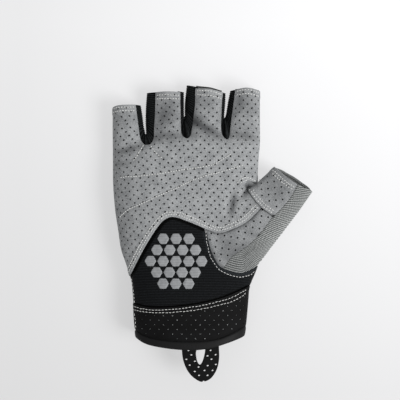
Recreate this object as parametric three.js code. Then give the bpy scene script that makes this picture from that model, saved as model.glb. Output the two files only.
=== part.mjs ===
// Right-hand fingerless paddle glove, lying on its back with the palm up.
// Millimetres. X runs to the thumb side, Y to the fingertips, Z up out of the palm.
// The glove is sewn from panels. The palm side and the back are two height surfaces over
// the same plan. Each panel is a sheet of patches on them, trimmed at its seams and given a wall.
import * as THREE from 'three';

// Walls: how far each panel's two faces stand out of (+) or below (-) the height surface.
const LEATHER = { outer: 0.3, inner: -1.0 };
const KNIT = { outer: 0.0, inner: -1.2 };
const WEB = { outer: 0.0, inner: -1.1 };
const HEEL = { outer: 0.0, inner: -1.2 };
const CUFF = { outer: 0.3, inner: -1.5 };
const BINDING = { outer: 0.6, inner: -2.0 };
const LOOP = { outer: 0.9, inner: -0.9 };

const SEAM_TRIM = 0.32; // each panel stops this far short of a seam
const SAME_POINT = 0.02; // patches share points that are closer than this
const LIP = 1.6; // how far a finger web reaches in under the panels
const LIP_GAP = 0.4; // and how far below them it lies
const BACK_FLAT = 1.5; // the back would bulge this much lower if the ground did not flatten it
const CROWN_POWER = 2.5; // roundness of the palm side's cross-section
const BACK_POWER = 2.8; // roundness of the back's cross-section
const BLEND = { palm: 4, back: 2 }; // width over which hand and thumb run together
const THUMB_REACH = 0.5; // the thumb's middle height holds this far out of its sides
const SIDE_REACH = 1.05; // the side seam's height holds this far out, in half widths of the hand

const columns = (names, rows) =>
  rows.map((row) => Object.fromEntries(names.map((name, i) => [name, row[i]])));

// Cross-sections of the hand, from the wrist opening to the fingertips: both sides in plan,
// the height of the side seam and the palm's crown.
const HAND = columns(['y', 'left', 'right', 'seam', 'crown'], [
  [-76, -50.0, 20.2, 15.0, 29.6],
  [-68.5, -50.5, 20.7, 15.0, 29.8],
  [-58.6, -51.6, 22.1, 15.0, 30.0],
  [-44, -52.5, 23.4, 14.8, 30.0],
  [-36.8, -53.1, 24.1, 14.5, 29.8],
  [-32, -53.7, 26.0, 14.2, 29.6],
  [-21.7, -56.7, 30.0, 13.5, 29.1],
  [-11, -60.4, 30.4, 13.0, 28.6],
  [2, -62.4, 30.2, 13.0, 28.2],
  [15.3, -64.4, 29.8, 13.0, 27.6],
  [33, -65.8, 29.7, 12.8, 26.2],
  [48.3, -66.0, 30.4, 11.8, 24.4],
  [60, -66.2, 31.5, 10.6, 22.6],
  [71.4, -66.3, 31.5, 9.8, 20.6],
  [98, -66.2, 31.4, 9.4, 19.4],
]);

// Cross-sections of the thumb along its own axis, s = 0 at the opening and negative towards
// the wrist: both sides, the height of its middle, and its half heights above and below.
const THUMB_TIP = new THREE.Vector2(53.8, 35.8);
const THUMB_AXIS = new THREE.Vector2(0.545, 0.839).normalize();
const THUMB = columns(['s', 'left', 'right', 'middle', 'above', 'below'], [
  [-75, -22.0, 7.0, 13.4, 4.0, 12.0],
  [-61, -24.0, 11.3, 13.4, 9.5, 13.2],
  [-45, -24.0, 12.8, 13.6, 11.4, 13.4],
  [-27.5, -22.0, 14.1, 14.4, 11.0, 11.2],
  [-15.4, -18.8, 14.9, 15.6, 9.4, 9.2],
  [0, -15.1, 15.1, 19.4, 7.8, 7.8],
  [4, -14.8, 15.1, 20.2, 7.6, 7.6],
]);

// Three slots between the fingers. Each row is a step round the slot, from the left finger's
// end, round the crotch at row 5, to the right finger's end: the panels' edge in plan, and
// how far the web between them stands into the slot at half height.
const SLOTS = {
  web_little_ring: columns(['x', 'y', 'webX', 'webY'], [
    [-51.2, 85.2, -47.7, 85.0],
    [-50.0, 77.5, -46.6, 78.0],
    [-49.0, 70.0, -45.8, 71.4],
    [-47.9, 62.8, -45.1, 67.5],
    [-45.8, 59.4, -45.0, 65.8],
    [-42.9, 58.3, -44.7, 64.9],
    [-40.6, 59.4, -44.4, 65.8],
    [-39.2, 62.5, -44.4, 68.0],
    [-38.6, 72.0, -44.4, 75.0],
    [-38.1, 82.0, -43.8, 84.0],
    [-37.6, 93.5, -43.0, 93.3],
  ]),
  web_ring_middle: columns(['x', 'y', 'webX', 'webY'], [
    [-21.5, 93.5, -18.9, 92.8],
    [-21.3, 84.0, -18.8, 84.0],
    [-21.1, 74.0, -18.8, 77.0],
    [-20.8, 68.0, -18.8, 73.0],
    [-19.6, 64.2, -18.7, 70.6],
    [-16.9, 62.5, -18.4, 69.6],
    [-14.7, 64.2, -18.1, 70.6],
    [-13.8, 68.5, -18.1, 75.0],
    [-12.8, 75.5, -17.9, 80.5],
    [-11.7, 84.0, -17.4, 87.0],
    [-11.1, 97.4, -15.9, 97.4],
  ]),
  web_middle_index: columns(['x', 'y', 'webX', 'webY'], [
    [6.8, 94.0, 9.0, 93.0],
    [6.3, 87.0, 8.8, 86.0],
    [5.9, 78.0, 8.3, 80.5],
    [5.7, 70.0, 7.95, 76.5],
    [6.9, 64.5, 7.9, 73.6],
    [9.5, 61.8, 8.2, 72.4],
    [11.1, 64.0, 8.5, 73.6],
    [11.9, 70.0, 8.6, 77.0],
    [12.9, 78.0, 9.1, 81.5],
    [14.1, 86.5, 10.2, 88.0],
    [15.3, 95.2, 11.6, 94.8],
  ]),
};
const CROTCH_ROW = 5;
const LAST_ROW = 10;

// The fingers' own cross-section between the slots: how high the palm side's edge lies and
// how much its middle rises over that, how far the back's edge lifts, and how sharply each bends.
const FINGER = { edge: 15.2, crown: 3.6, crownPower: 2.2, backEdge: 2.4, backPower: 4 };
const KNUCKLE = { start: -15, end: 5 }; // the palm turns into fingers over this, from the crotch
const FINGER_ROOT = [56.5, 58.3, 62.5, 61.8, 60.0]; // crotch heights, with both outer sides

// Creases and hollows pressed into the palm side: centre, half length and half width, turn
// in degrees from X, and depth.
const DENTS = columns(['x', 'y', 'long', 'wide', 'turn', 'depth'], [
  [-31, 63, 9, 3.0, 4, 0.9],
  [-6, 71, 7, 3.2, -35, 1.2],
  [3, 64, 7, 3.0, -8, 0.9],
  [23, 61, 8, 3.5, -12, 0.8],
  [-57, 53, 9, 3.5, 12, 0.9],
  [22, 29, 7, 4.0, 70, 2.6],
  [14, 19, 9, 2.6, 72, 1.4],
]);

// Seams in plan, each from left to right or from the wrist up.
const PALM_EDGE = [
  [-54.8, -28.6], [-44.6, -9.4], [-36, 4.1], [-30.5, 9.6], [-24.8, 10.7], [-14.9, 7.4],
  [-4, 2.8], [3, 0.5], [9.5, 1.5], [22.1, 7.4], [32, 17],
];
const HEEL_CORNER = 6; // row of PALM_EDGE where palm, heel and thumb panels meet
const LINE_FEET = [0, 1, 4, 8, 10]; // rows of PALM_EDGE where the strips of the palm stand
const THUMB_FOLD = [[32, 17], [26.1, 24.1], [21.3, 32]];
const THUMB_FOLD_OUTER = [[39.6, 11.6], [32, 17]];
const THUMB_RIM = [[21.3, 32], [22.6, 34.6], [25.6, 34.2], [29.7, 33.1]];
const THUMB_SIDE = [[29.7, 33.1], [36.5, 39.9], [41, 43.7]];
const THUMB_MOUTH = [[41, 43.7], [55.1, 31.8]];
const KNIT_MOUTH = [[55.1, 31.8], [66.2, 27.0]];
const KNIT_SEAM_LOWER = [[6.9, -22.8], [12.9, -15], [23.4, -7.8], [32.7, 2.1], [39.6, 11.6]];
const KNIT_SEAM_UPPER = [[39.6, 11.6], [45.2, 16.6], [51.2, 23.9], [55.1, 31.8]];
const HEEL_SEAM = [[-4, 2.8], [-3.3, -1.8], [-0.8, -11.5], [3.4, -19.8], [6.9, -22.8]];
const KNIT_FOOT = [[6.9, -22.8], [13, -24.9], [21, -25.6], [30, -21.7]];
const THUMB_OUTER = [[30, -21.7], [45.9, -0.5], [63, 21.9], [66.2, 27.0]];
const BAND_EDGE = [[-52.2, -47.1], [-38, -49.5], [-14.9, -47.7], [5, -43.4], [23.9, -35.6]];
const HEM_TOP = [[-50.9, -64.5], [-41.3, -68.4], [-21.5, -70.5], [1.7, -69.2], [21.7, -61.6]];
const HEM_BOTTOM = [[-50.4, -69.2], [-41.3, -73.1], [-20.1, -75.8], [-2, -74.9], [20.7, -68.2]];
const BACK_WAIST = [[-55.2, -26.5], [-18, -26.8], [20, -25.2]];
const WAIST_CORNER = [[20, -25.2], [25, -24], [30, -21.7]];
const BACK_SEAM = [[20, -25.2], [23, -5], [26.5, 18], [29.7, 33.1]];
const HEM_BACK_TOP = -62;
const HEM_BACK_BOTTOM = -68;

// Pull loop: outer outline and slot, step by step round the same way from the top left.
const LOOP_OUTLINE = columns(['x', 'y', 'slotX', 'slotY'], [
  [-20.1, -71.6, -10.4, -75.9],
  [-20.1, -76.4, -10.9, -78.0],
  [-19.6, -81.7, -10.8, -80.4],
  [-18.2, -86.6, -10.3, -83.4],
  [-16.0, -91.0, -9.6, -85.2],
  [-12.6, -94.9, -8.9, -86.2],
  [-7.4, -97.9, -8.2, -86.5],
  [-2.2, -96.4, -7.5, -85.9],
  [1.2, -92.6, -6.9, -84.9],
  [3.4, -87.6, -6.2, -83.2],
  [4.3, -81.6, -5.5, -80.6],
  [4.2, -76.2, -5.0, -78.0],
  [4.0, -71.6, -4.8, -75.9],
  [-8.0, -71.6, -7.6, -75.6],
]);
const LOOP_DROOP = 0.22; // fall of the loop for each mm that it stands out of the cuff
const LOOP_ROOT_Y = -72;
const LOOP_UNDER_HEM = 3.4; // the loop's middle, below the height surface at the hem

const { clamp, lerp, smoothstep, degToRad } = THREE.MathUtils;

// Smooth value of one column of a table whose rows rise in their key column.
function read(rows, key, column, value) {
  const last = rows.length - 1;
  let i = 0;
  while (i < last - 1 && value > rows[i + 1][key]) i += 1;
  const [a, b] = [rows[i], rows[i + 1]];
  const span = b[key] - a[key];
  const slope = (j) => {
    const [before, after] = [rows[Math.max(j - 1, 0)], rows[Math.min(j + 1, last)]];
    return (after[column] - before[column]) / (after[key] - before[key]);
  };
  const t = clamp((value - a[key]) / span, 0, 1);
  const rise = t * t * (3 - 2 * t);
  const start = t * (1 - t) * (1 - t) * slope(i);
  const end = t * t * (t - 1) * slope(i + 1);
  return lerp(a[column], b[column], rise) + (start + end) * span;
}

// Superellipse: 1 in the middle, 0 with an upright end at |t| = 1.
const arch = (t, power) =>
  Math.pow(Math.max(0, 1 - Math.pow(Math.min(1, Math.abs(t)), power)), 1 / power);

// Larger of two heights, rounded where they cross.
function smoothMax(a, b, width) {
  const near = Math.max(width - Math.abs(a - b), 0) / width;
  return Math.max(a, b) + (near * near * width) / 4;
}

const SLOT_LIST = Object.values(SLOTS);

// x of a slot's edge at y, on its left or right side; below the crotch both run straight down.
function slotEdge(slot, side, y) {
  const rows = side < 0 ? slot.slice(0, CROTCH_ROW + 1).reverse() : slot.slice(CROTCH_ROW);
  return y <= rows[0].y ? rows[0].x : read(rows, 'y', 'x', y);
}

// Where a plan point lies across its finger, from -1 to 1, and whether that half of the
// finger is an outer side of the hand.
function fingerPlace(x, y) {
  const last = SLOT_LIST.length;
  let i = 0;
  while (i < last && x > slotEdge(SLOT_LIST[i], -1, y)) i += 1;
  const from = i ? slotEdge(SLOT_LIST[i - 1], 1, y) : read(HAND, 'y', 'left', y);
  const to = i < last ? slotEdge(SLOT_LIST[i], -1, y) : read(HAND, 'y', 'right', y);
  const t = (2 * x - from - to) / (to - from);
  return { t, outer: (t < 0 && i === 0) || (t > 0 && i === last) };
}

// Height of the crotch line across the hand, through both outer sides and the three crotches.
function rootHeight(x) {
  const [left, right] = ['left', 'right'].map((c) => read(HAND, 'y', c, FINGER_ROOT[0]));
  const xs = [left, ...SLOT_LIST.map((slot) => slot[CROTCH_ROW].x), right];
  let i = 0;
  while (i < xs.length - 2 && x > xs[i + 1]) i += 1;
  const share = clamp((x - xs[i]) / (xs[i + 1] - xs[i]), 0, 1);
  return lerp(FINGER_ROOT[i], FINGER_ROOT[i + 1], share);
}

// Share of the finger's cross-section at a point: 0 in the palm, 1 well up the finger.
const fingerShare = (x, y) => smoothstep(y - rootHeight(x), KNUCKLE.start, KNUCKLE.end);

// Depth of all creases and hollows at a point, each a bell shape along and across itself.
function dentsAt(x, y) {
  return DENTS.reduce((sum, dent) => {
    const turn = degToRad(dent.turn);
    const [dx, dy] = [x - dent.x, y - dent.y];
    const along = (dx * Math.cos(turn) + dy * Math.sin(turn)) / dent.long;
    const across = (dy * Math.cos(turn) - dx * Math.sin(turn)) / dent.wide;
    return sum + dent.depth * Math.exp(-along * along - across * across);
  }, 0);
}

// Place of a plan point in the thumb's own frame.
function thumbPlace(x, y) {
  const [dx, dy] = [x - THUMB_TIP.x, y - THUMB_TIP.y];
  const s = dx * THUMB_AXIS.x + dy * THUMB_AXIS.y;
  const d = dx * THUMB_AXIS.y - dy * THUMB_AXIS.x;
  const [left, right] = ['left', 'right'].map((c) => read(THUMB, 's', c, s));
  const inside = s > THUMB[0].s && d > left - THUMB_REACH && d < right + THUMB_REACH;
  const t = (d - (left + right) / 2) / ((right - left) / 2);
  return { s, t, inside, middle: read(THUMB, 's', 'middle', s) };
}

function handPlace(x, y) {
  const [left, right] = ['left', 'right'].map((c) => read(HAND, 'y', c, y));
  const t = (x - (left + right) / 2) / ((right - left) / 2);
  return { t, inside: Math.abs(t) < SIDE_REACH, seam: read(HAND, 'y', 'seam', y) };
}

// Height of the palm side over a plan point.
function palmHeight(x, y) {
  const hand = handPlace(x, y);
  const thumb = thumbPlace(x, y);
  let height = -Infinity;
  if (hand.inside) {
    const crown = read(HAND, 'y', 'crown', y);
    const palm = hand.seam + (crown - hand.seam) * arch(hand.t, CROWN_POWER);
    const { t, outer } = fingerPlace(x, y);
    const top = FINGER.edge + FINGER.crown;
    const ridge = outer
      ? hand.seam + (top - hand.seam) * arch(t, CROWN_POWER)
      : top - FINGER.crown * Math.min(1, Math.abs(t)) ** FINGER.crownPower;
    height = lerp(palm, ridge, fingerShare(x, y));
  }
  if (thumb.inside) {
    const above = read(THUMB, 's', 'above', thumb.s);
    height = smoothMax(height, thumb.middle + above * arch(thumb.t, CROWN_POWER), BLEND.palm);
  }
  return height - dentsAt(x, y);
}

// Height of the back over a plan point, flattened where a wall that stands the given distance
// out of it meets the ground.
const backOver = (wall) => (x, y) => {
  const hand = handPlace(x, y);
  const thumb = thumbPlace(x, y);
  let height = Infinity;
  if (hand.inside) {
    const palm = hand.seam - (hand.seam + BACK_FLAT) * arch(hand.t, BACK_POWER);
    const { t, outer } = fingerPlace(x, y);
    const ridge = outer
      ? hand.seam - (hand.seam + BACK_FLAT) * arch(t, BACK_POWER)
      : FINGER.backEdge * Math.min(1, Math.abs(t)) ** FINGER.backPower;
    height = lerp(palm, ridge, fingerShare(x, y));
  }
  if (thumb.inside) {
    const below = read(THUMB, 's', 'below', thumb.s);
    const under = thumb.middle - below * arch(thumb.t, CROWN_POWER);
    height = -smoothMax(-height, -under, BLEND.back);
  }
  return Math.max(wall.outer, height);
};
const backHeight = backOver(KNIT);

// Curves in plan are functions from 0..1 to a point.
const spline = (rows) => {
  const curve = new THREE.SplineCurve(rows.map(([x, y]) => new THREE.Vector2(x, y)));
  return (t) => curve.getPoint(t);
};
const straight = (a, b) => (t) => a.clone().lerp(b, t);
const part = (curve, from, to) => (t) => curve(lerp(from, to, t));
const side = (column, from, to) => (t) => {
  const y = lerp(from, to, t);
  return new THREE.Vector2(read(HAND, 'y', column, y), y);
};
// Curves end to end, the next one starting at each cut.
const chain = (curves, cuts) => (t) => {
  const ends = [0, ...cuts, 1];
  let i = 0;
  while (i < curves.length - 1 && t > ends[i + 1]) i += 1;
  return curves[i]((t - ends[i]) / (ends[i + 1] - ends[i]));
};
const reversed = (curve) => (t) => curve(1 - t);
const firstRow = (rows) => rows[0][1];
const lastRow = (rows) => rows[rows.length - 1][1];

// Coons patch: the plan surface through four boundary curves.
const coons = (south, north, west, east) => (u, v) => {
  const [s, n, w, e] = [south(u), north(u), west(v), east(v)];
  const corners = [
    [south(0), (1 - u) * (1 - v)], [south(1), u * (1 - v)],
    [north(0), (1 - u) * v], [north(1), u * v],
  ];
  const point = s.multiplyScalar(1 - v).addScaledVector(n, v);
  point.addScaledVector(w, 1 - u).addScaledVector(e, u);
  corners.forEach(([corner, share]) => point.addScaledVector(corner, -share));
  return point;
};

// Steps from 0 to 1: even, or closing up towards the upright side of a panel, as the points
// of a circle do over a little less than a quarter turn.
const QUARTER = 0.95 * (Math.PI / 2);
const even = (n) => Array.from({ length: n + 1 }, (_, i) => i / n);
const closeToEnd = (n) => even(n).map((t) => Math.sin(t * QUARTER) / Math.sin(QUARTER));
const closeToStart = (n) => closeToEnd(n).map((t) => 1 - t).reverse();
const closeToBoth = (n) => even(n).map((t) => (1 - Math.cos(t * Math.PI)) / 2);

// A patch is a grid of points in space, rows of v by columns of u. Its front faces out when
// u runs right and v up on the palm side; the back's patches are turned over.
function lifted(plan, us, vs, height, turned = false) {
  const grid = vs.map((v) =>
    us.map((u) => {
      const p = plan(u, v);
      return new THREE.Vector3(p.x, p.y, height(p.x, p.y));
    }),
  );
  return turned ? grid.map((row) => row.reverse()) : grid;
}

// Joins patches into one sheet, sharing the points that coincide.
function sheetOf(patches) {
  const points = [];
  const quads = [];
  const indexOf = (p) => {
    const known = points.findIndex((q) => q.distanceToSquared(p) < SAME_POINT ** 2);
    return known < 0 ? points.push(p.clone()) - 1 : known;
  };
  for (const grid of patches)
    for (let j = 0; j + 1 < grid.length; j += 1)
      for (let i = 0; i + 1 < grid[j].length; i += 1)
        quads.push(
          [grid[j][i], grid[j][i + 1], grid[j + 1][i + 1], grid[j + 1][i]].map(indexOf),
        );
  const triangles = quads.flatMap(([a, b, c, d]) => [[a, b, c], [a, c, d]]);
  return { points, triangles: triangles.filter(([a, b, c]) => a !== b && b !== c && a !== c) };
}

// Edges that only one triangle has, in that triangle's direction.
function freeEdges(triangles) {
  const edges = new Map();
  for (const t of triangles)
    for (let k = 0; k < 3; k += 1) edges.set(`${t[k]},${t[(k + 1) % 3]}`, [t[k], t[(k + 1) % 3]]);
  return [...edges.values()].filter(([a, b]) => !edges.has(`${b},${a}`));
}

function pointNormals({ points, triangles }) {
  const normals = points.map(() => new THREE.Vector3());
  for (const [a, b, c] of triangles) {
    const ab = points[b].clone().sub(points[a]);
    const normal = ab.cross(points[c].clone().sub(points[a]));
    [a, b, c].forEach((i) => normals[i].add(normal));
  }
  return normals.map((n) => n.normalize());
}

// Cuts every free edge of a sheet back by the seam trim, within the sheet's own surface.
function trimSeams(sheet, trim) {
  const normals = pointNormals(sheet);
  const inward = new Map();
  for (const [a, b] of freeEdges(sheet.triangles)) {
    const edge = sheet.points[b].clone().sub(sheet.points[a]).normalize();
    for (const i of [a, b]) {
      const push = normals[i].clone().cross(edge);
      inward.set(i, (inward.get(i) || new THREE.Vector3()).add(push));
    }
  }
  const ground = Math.min(...sheet.points.map((p) => p.z));
  for (const [i, push] of inward) {
    const corner = Math.max(1, push.lengthSq() / 2);
    sheet.points[i].addScaledVector(push, trim / corner);
    sheet.points[i].z = Math.max(sheet.points[i].z, ground);
  }
  return sheet;
}

// Gives a sheet its wall: two faces at the given offsets, and an edge all round.
function walled(patches, { outer, inner }, trim = SEAM_TRIM) {
  const sheet = trimSeams(sheetOf(patches), trim);
  const normals = pointNormals(sheet);
  const faces = [outer, inner].map((offset) =>
    sheet.points.map((p, i) => p.clone().addScaledVector(normals[i], offset)),
  );
  const count = sheet.points.length;
  const index = sheet.triangles.flatMap(([a, b, c]) => [a, b, c, count + a, count + c, count + b]);
  for (const [a, b] of freeEdges(sheet.triangles))
    index.push(a, count + a, b, b, count + a, count + b);
  const geometry = new THREE.BufferGeometry();
  geometry.setAttribute(
    'position',
    new THREE.Float32BufferAttribute(faces.flat().flatMap((p) => [p.x, p.y, p.z]), 3),
  );
  geometry.setIndex(index);
  return geometry;
}

// Grid sizes: how many steps each patch takes, and the steps at which its seams meet others.
const PALM_ROWS = 11;
const FINGER_ROWS = 8;
const OUTER_COLUMNS = 7;
const INNER_COLUMNS = 4;
const THENAR_ROW = 5; // row of the palm grid level with the top of the thumb opening
const WEB_STEPS = 22;
const WEB_COLUMNS = 6;
const THUMB_COLUMNS = 6;
const THUMB_ROWS = 8;
const RIM_ROWS = 3; // of the thumb tip's rows, those along the palm's cut-out
const BASE_GRID = { columns: 9, rows: 6 };
const KNIT_ROWS = 12;
const KNIT_SEAM_ROWS = 7; // of them, those along the thumb base
const BACK_SEAM_ROWS = 8; // of the back's and the knit's rows, those below the thumb opening
const KNIT_COLUMNS = { above: 7, below: 7 };
const HEEL_GRID = { columns: 20, rows: 8, palm: 10, thumb: 14 }; // and columns where seams meet
const CUFF_COLUMNS = 16;
const WAIST_TURN = 12; // of them, the one where the back panel ends
const CUFF_ROWS = { band: 4, back: 7, hem: 2 };
const FOLD_SHARE = 0.62; // share of the thumb tip's fold that lies on the palm leather

const slotCurve = (slot) => spline(slot.map((row) => [row.x, row.y]));
const crotchOf = (slot) => new THREE.Vector2(slot[CROTCH_ROW].x, slot[CROTCH_ROW].y);
const ROOT_LEFT = side('left', FINGER_ROOT[0], FINGER_ROOT[0])(0);
const ROOT_RIGHT = side('right', FINGER_ROOT[4], FINGER_ROOT[4])(0);
const ROOTS = [ROOT_LEFT, ...SLOT_LIST.map(crotchOf), ROOT_RIGHT];

// Ends of the four finger pieces in plan. The back's are a little longer, as in the real cut.
const FINGER_ENDS = [
  [[-66.2, 83.4], [-62, 84.6], [-51.2, 85.2]],
  [[-37.6, 93.5], [-29.5, 93.7], [-21.5, 93.5]],
  [[-11.1, 97.4], [-1.7, 96.6], [6.8, 94]],
  [[15.3, 95.2], [23, 96.2], [31.4, 94.5]],
];

// The fingers above the crotch line, as plan patches.
function fingerPlans() {
  return FINGER_ENDS.map((end, i) => {
    const west = i
      ? part(slotCurve(SLOT_LIST[i - 1]), CROTCH_ROW / LAST_ROW, 1)
      : side('left', FINGER_ROOT[0], end[0][1]);
    const east = i < 3
      ? part(slotCurve(SLOT_LIST[i]), CROTCH_ROW / LAST_ROW, 0)
      : side('right', FINGER_ROOT[4], end[2][1]);
    return coons(straight(ROOTS[i], ROOTS[i + 1]), spline(end), west, east);
  });
}

// Column steps of the four strips of the hand: closer at its two outer sides.
const INDEX_COLUMNS = [
  ...even(3).map((t) => t / 2),
  ...closeToEnd(5).slice(1).map((t) => 0.5 + t / 2),
];
const STRIP_COLUMNS = [
  closeToStart(OUTER_COLUMNS), even(INNER_COLUMNS), even(INNER_COLUMNS), INDEX_COLUMNS,
];

function fingers(height, turned) {
  const rows = even(FINGER_ROWS);
  return fingerPlans().map((plan, i) => lifted(plan, STRIP_COLUMNS[i], rows, height, turned));
}

// Palm leather: three strips up to the crotches, the index strip beside the thumb opening,
// the thenar patch under it, and the four finger pieces.
function palmPanel() {
  const edge = spline(PALM_EDGE);
  const last = PALM_EDGE.length - 1;
  const foot = (i) => edge(LINE_FEET[i] / last);
  const south = (i) => part(edge, LINE_FEET[i] / last, LINE_FEET[i + 1] / last);
  const lines = [
    side('left', PALM_EDGE[0][1], FINGER_ROOT[0]),
    ...[1, 2, 3].map((i) => straight(foot(i), ROOTS[i])),
  ];
  const rows = even(PALM_ROWS);
  const strips = [0, 1, 2].map((i) =>
    lifted(
      coons(south(i), straight(ROOTS[i], ROOTS[i + 1]), lines[i], lines[i + 1]),
      STRIP_COLUMNS[i], rows, palmHeight,
    ),
  );
  const share = THENAR_ROW / PALM_ROWS;
  const shelf = lines[3](share);
  const fold = spline(THUMB_FOLD);
  const ledge = straight(shelf, fold(1));
  const thenar = coons(south(3), ledge, part(lines[3], 0, share), fold);
  const index = coons(
    chain([ledge, spline(THUMB_RIM)], [0.5]),
    straight(ROOTS[3], ROOTS[4]),
    part(lines[3], share, 1),
    side('right', lastRow(THUMB_RIM), FINGER_ROOT[4]),
  );
  const thenarColumns = INDEX_COLUMNS.filter((u) => u <= 0.5).map((u) => u * 2);
  return [
    ...strips,
    lifted(thenar, thenarColumns, even(THENAR_ROW), palmHeight),
    lifted(index, INDEX_COLUMNS, even(PALM_ROWS - THENAR_ROW), palmHeight),
    ...fingers(palmHeight, false),
  ];
}

// Knitted back of the hand and fingers.
function backPanel() {
  const waist = spline(BACK_WAIST);
  const cuts = [0, 0.2, 0.45, 0.7, 1]; // where the strips of the back stand on its waist
  const lines = [
    side('left', BACK_WAIST[0][1], FINGER_ROOT[0]),
    ...[1, 2, 3].map((i) => straight(waist(cuts[i]), ROOTS[i])),
    chain([spline(BACK_SEAM), side('right', lastRow(BACK_SEAM), FINGER_ROOT[4])], [BACK_SEAM_ROWS / PALM_ROWS]),
  ];
  const strips = [0, 1, 2, 3].map((i) =>
    lifted(
      coons(part(waist, cuts[i], cuts[i + 1]), straight(ROOTS[i], ROOTS[i + 1]), lines[i], lines[i + 1]),
      STRIP_COLUMNS[i], even(PALM_ROWS), backHeight, true,
    ),
  );
  return [...strips, ...fingers(backHeight, true)];
}

// Web between two fingers: at each step round the slot its cross-section is half an ellipse,
// from a lip under the palm leather, out into the slot, to a lip over the back.
function fingerWeb(slot) {
  const edge = slotCurve(slot);
  const web = spline(slot.map((row) => [row.webX, row.webY]));
  const grid = even(WEB_STEPS).map((t) => {
    const [lip, crest] = [edge(t), web(t)];
    const out = crest.clone().sub(lip);
    const base = lip.clone().addScaledVector(out.clone().normalize(), -LIP);
    const top = palmHeight(lip.x, lip.y) + LEATHER.inner - LIP_GAP;
    const bottom = backHeight(lip.x, lip.y) - KNIT.inner + LIP_GAP;
    return even(WEB_COLUMNS).map((u) => {
      const angle = (1 - u) * Math.PI;
      const p = base.clone().lerp(crest, Math.sin(angle));
      return new THREE.Vector3(p.x, p.y, lerp(bottom, top, (1 + Math.cos(angle)) / 2));
    });
  });
  return [grid];
}

function thumbTipPanel() {
  const fold = chain([reversed(spline(THUMB_FOLD)), reversed(spline(THUMB_FOLD_OUTER))], [FOLD_SHARE]);
  const west = chain([spline(THUMB_RIM), spline(THUMB_SIDE)], [RIM_ROWS / THUMB_ROWS]);
  const plan = coons(fold, spline(THUMB_MOUTH), west, spline(KNIT_SEAM_UPPER));
  return [lifted(plan, closeToStart(THUMB_COLUMNS), even(THUMB_ROWS), palmHeight)];
}

function thumbBasePanel() {
  const edge = part(spline(PALM_EDGE), HEEL_CORNER / (PALM_EDGE.length - 1), 1);
  const west = reversed(spline(HEEL_SEAM));
  const plan = coons(spline(KNIT_SEAM_LOWER), edge, west, spline(THUMB_FOLD_OUTER));
  return [lifted(plan, even(BASE_GRID.columns), even(BASE_GRID.rows), palmHeight)];
}

// Knitted side of the thumb: one sheet from its seam on the palm side, round the outer side,
// and over the whole back of the thumb.
function thumbKnit() {
  const seam = chain([spline(KNIT_SEAM_LOWER), spline(KNIT_SEAM_UPPER)], [KNIT_SEAM_ROWS / KNIT_ROWS]);
  const outer = spline(THUMB_OUTER);
  const above = coons(spline(KNIT_FOOT), spline(KNIT_MOUTH), seam, outer);
  const inner = chain([spline(BACK_SEAM), spline(THUMB_SIDE)], [BACK_SEAM_ROWS / KNIT_ROWS]);
  const mouth = straight(inner(1), outer(1));
  const below = coons(spline(WAIST_CORNER), mouth, inner, outer);
  const rows = even(KNIT_ROWS);
  const top = lifted(above, closeToEnd(KNIT_COLUMNS.above), rows, palmHeight);
  const bottom = lifted(below, closeToBoth(KNIT_COLUMNS.below), rows, backHeight, true);
  rows.forEach((_, j) => joinRim(top[j][top[j].length - 1], bottom[j][0]));
  return [top, bottom];
}

// Makes one point of two that lie one above the other, halfway between them.
function joinRim(upper, lower) {
  upper.z = (upper.z + lower.z) / 2;
  lower.copy(upper);
}

function heelPanel() {
  const us = closeToBoth(HEEL_GRID.columns);
  const palm = part(spline(PALM_EDGE), 0, HEEL_CORNER / (PALM_EDGE.length - 1));
  const cuts = [us[HEEL_GRID.palm], us[HEEL_GRID.thumb]];
  const north = chain([palm, spline(HEEL_SEAM), spline(KNIT_FOOT)], cuts);
  const left = side('left', firstRow(BAND_EDGE), firstRow(PALM_EDGE));
  const right = side('right', lastRow(BAND_EDGE), lastRow(KNIT_FOOT));
  const plan = coons(spline(BAND_EDGE), north, left, right);
  return [lifted(plan, us, even(HEEL_GRID.rows), palmHeight)];
}

function cuffBand() {
  const plan = coons(
    spline(HEM_TOP), spline(BAND_EDGE),
    side('left', firstRow(HEM_TOP), firstRow(BAND_EDGE)),
    side('right', lastRow(HEM_TOP), lastRow(BAND_EDGE)),
  );
  return [lifted(plan, closeToBoth(CUFF_COLUMNS), even(CUFF_ROWS.band), palmHeight)];
}

// A level of the cuff on the back: it leaves the palm side's curve and runs straighter.
const backLevel = (p, level, u) => new THREE.Vector2(p.x, lerp(p.y, level, Math.sin(Math.PI * u)));

function cuffBack() {
  const us = closeToBoth(CUFF_COLUMNS);
  const waist = chain([spline(BACK_WAIST), spline(WAIST_CORNER)], [us[WAIST_TURN]]);
  const hem = (u) => backLevel(spline(HEM_TOP)(u), HEM_BACK_TOP, u);
  const left = side('left', firstRow(HEM_TOP), firstRow(BACK_WAIST));
  const right = side('right', lastRow(HEM_TOP), lastRow(WAIST_CORNER));
  const plan = coons(hem, waist, left, right);
  return [lifted(plan, us, even(CUFF_ROWS.back), backOver(CUFF), true)];
}

// Binding round the wrist opening: a ring, over the palm side and back under the back.
function hemBinding() {
  const plan = coons(
    spline(HEM_BOTTOM), spline(HEM_TOP),
    side('left', firstRow(HEM_BOTTOM), firstRow(HEM_TOP)),
    side('right', lastRow(HEM_BOTTOM), lastRow(HEM_TOP)),
  );
  const under = (u, v) => backLevel(plan(u, v), lerp(HEM_BACK_BOTTOM, HEM_BACK_TOP, v), u);
  const us = closeToBoth(CUFF_COLUMNS);
  const vs = even(CUFF_ROWS.hem);
  const top = lifted(plan, us, vs, palmHeight);
  const bottom = lifted(under, us, vs, backOver(BINDING), true);
  top.forEach((row, j) => {
    joinRim(row[0], bottom[j][CUFF_COLUMNS]);
    joinRim(row[CUFF_COLUMNS], bottom[j][0]);
  });
  return [top, bottom];
}

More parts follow.
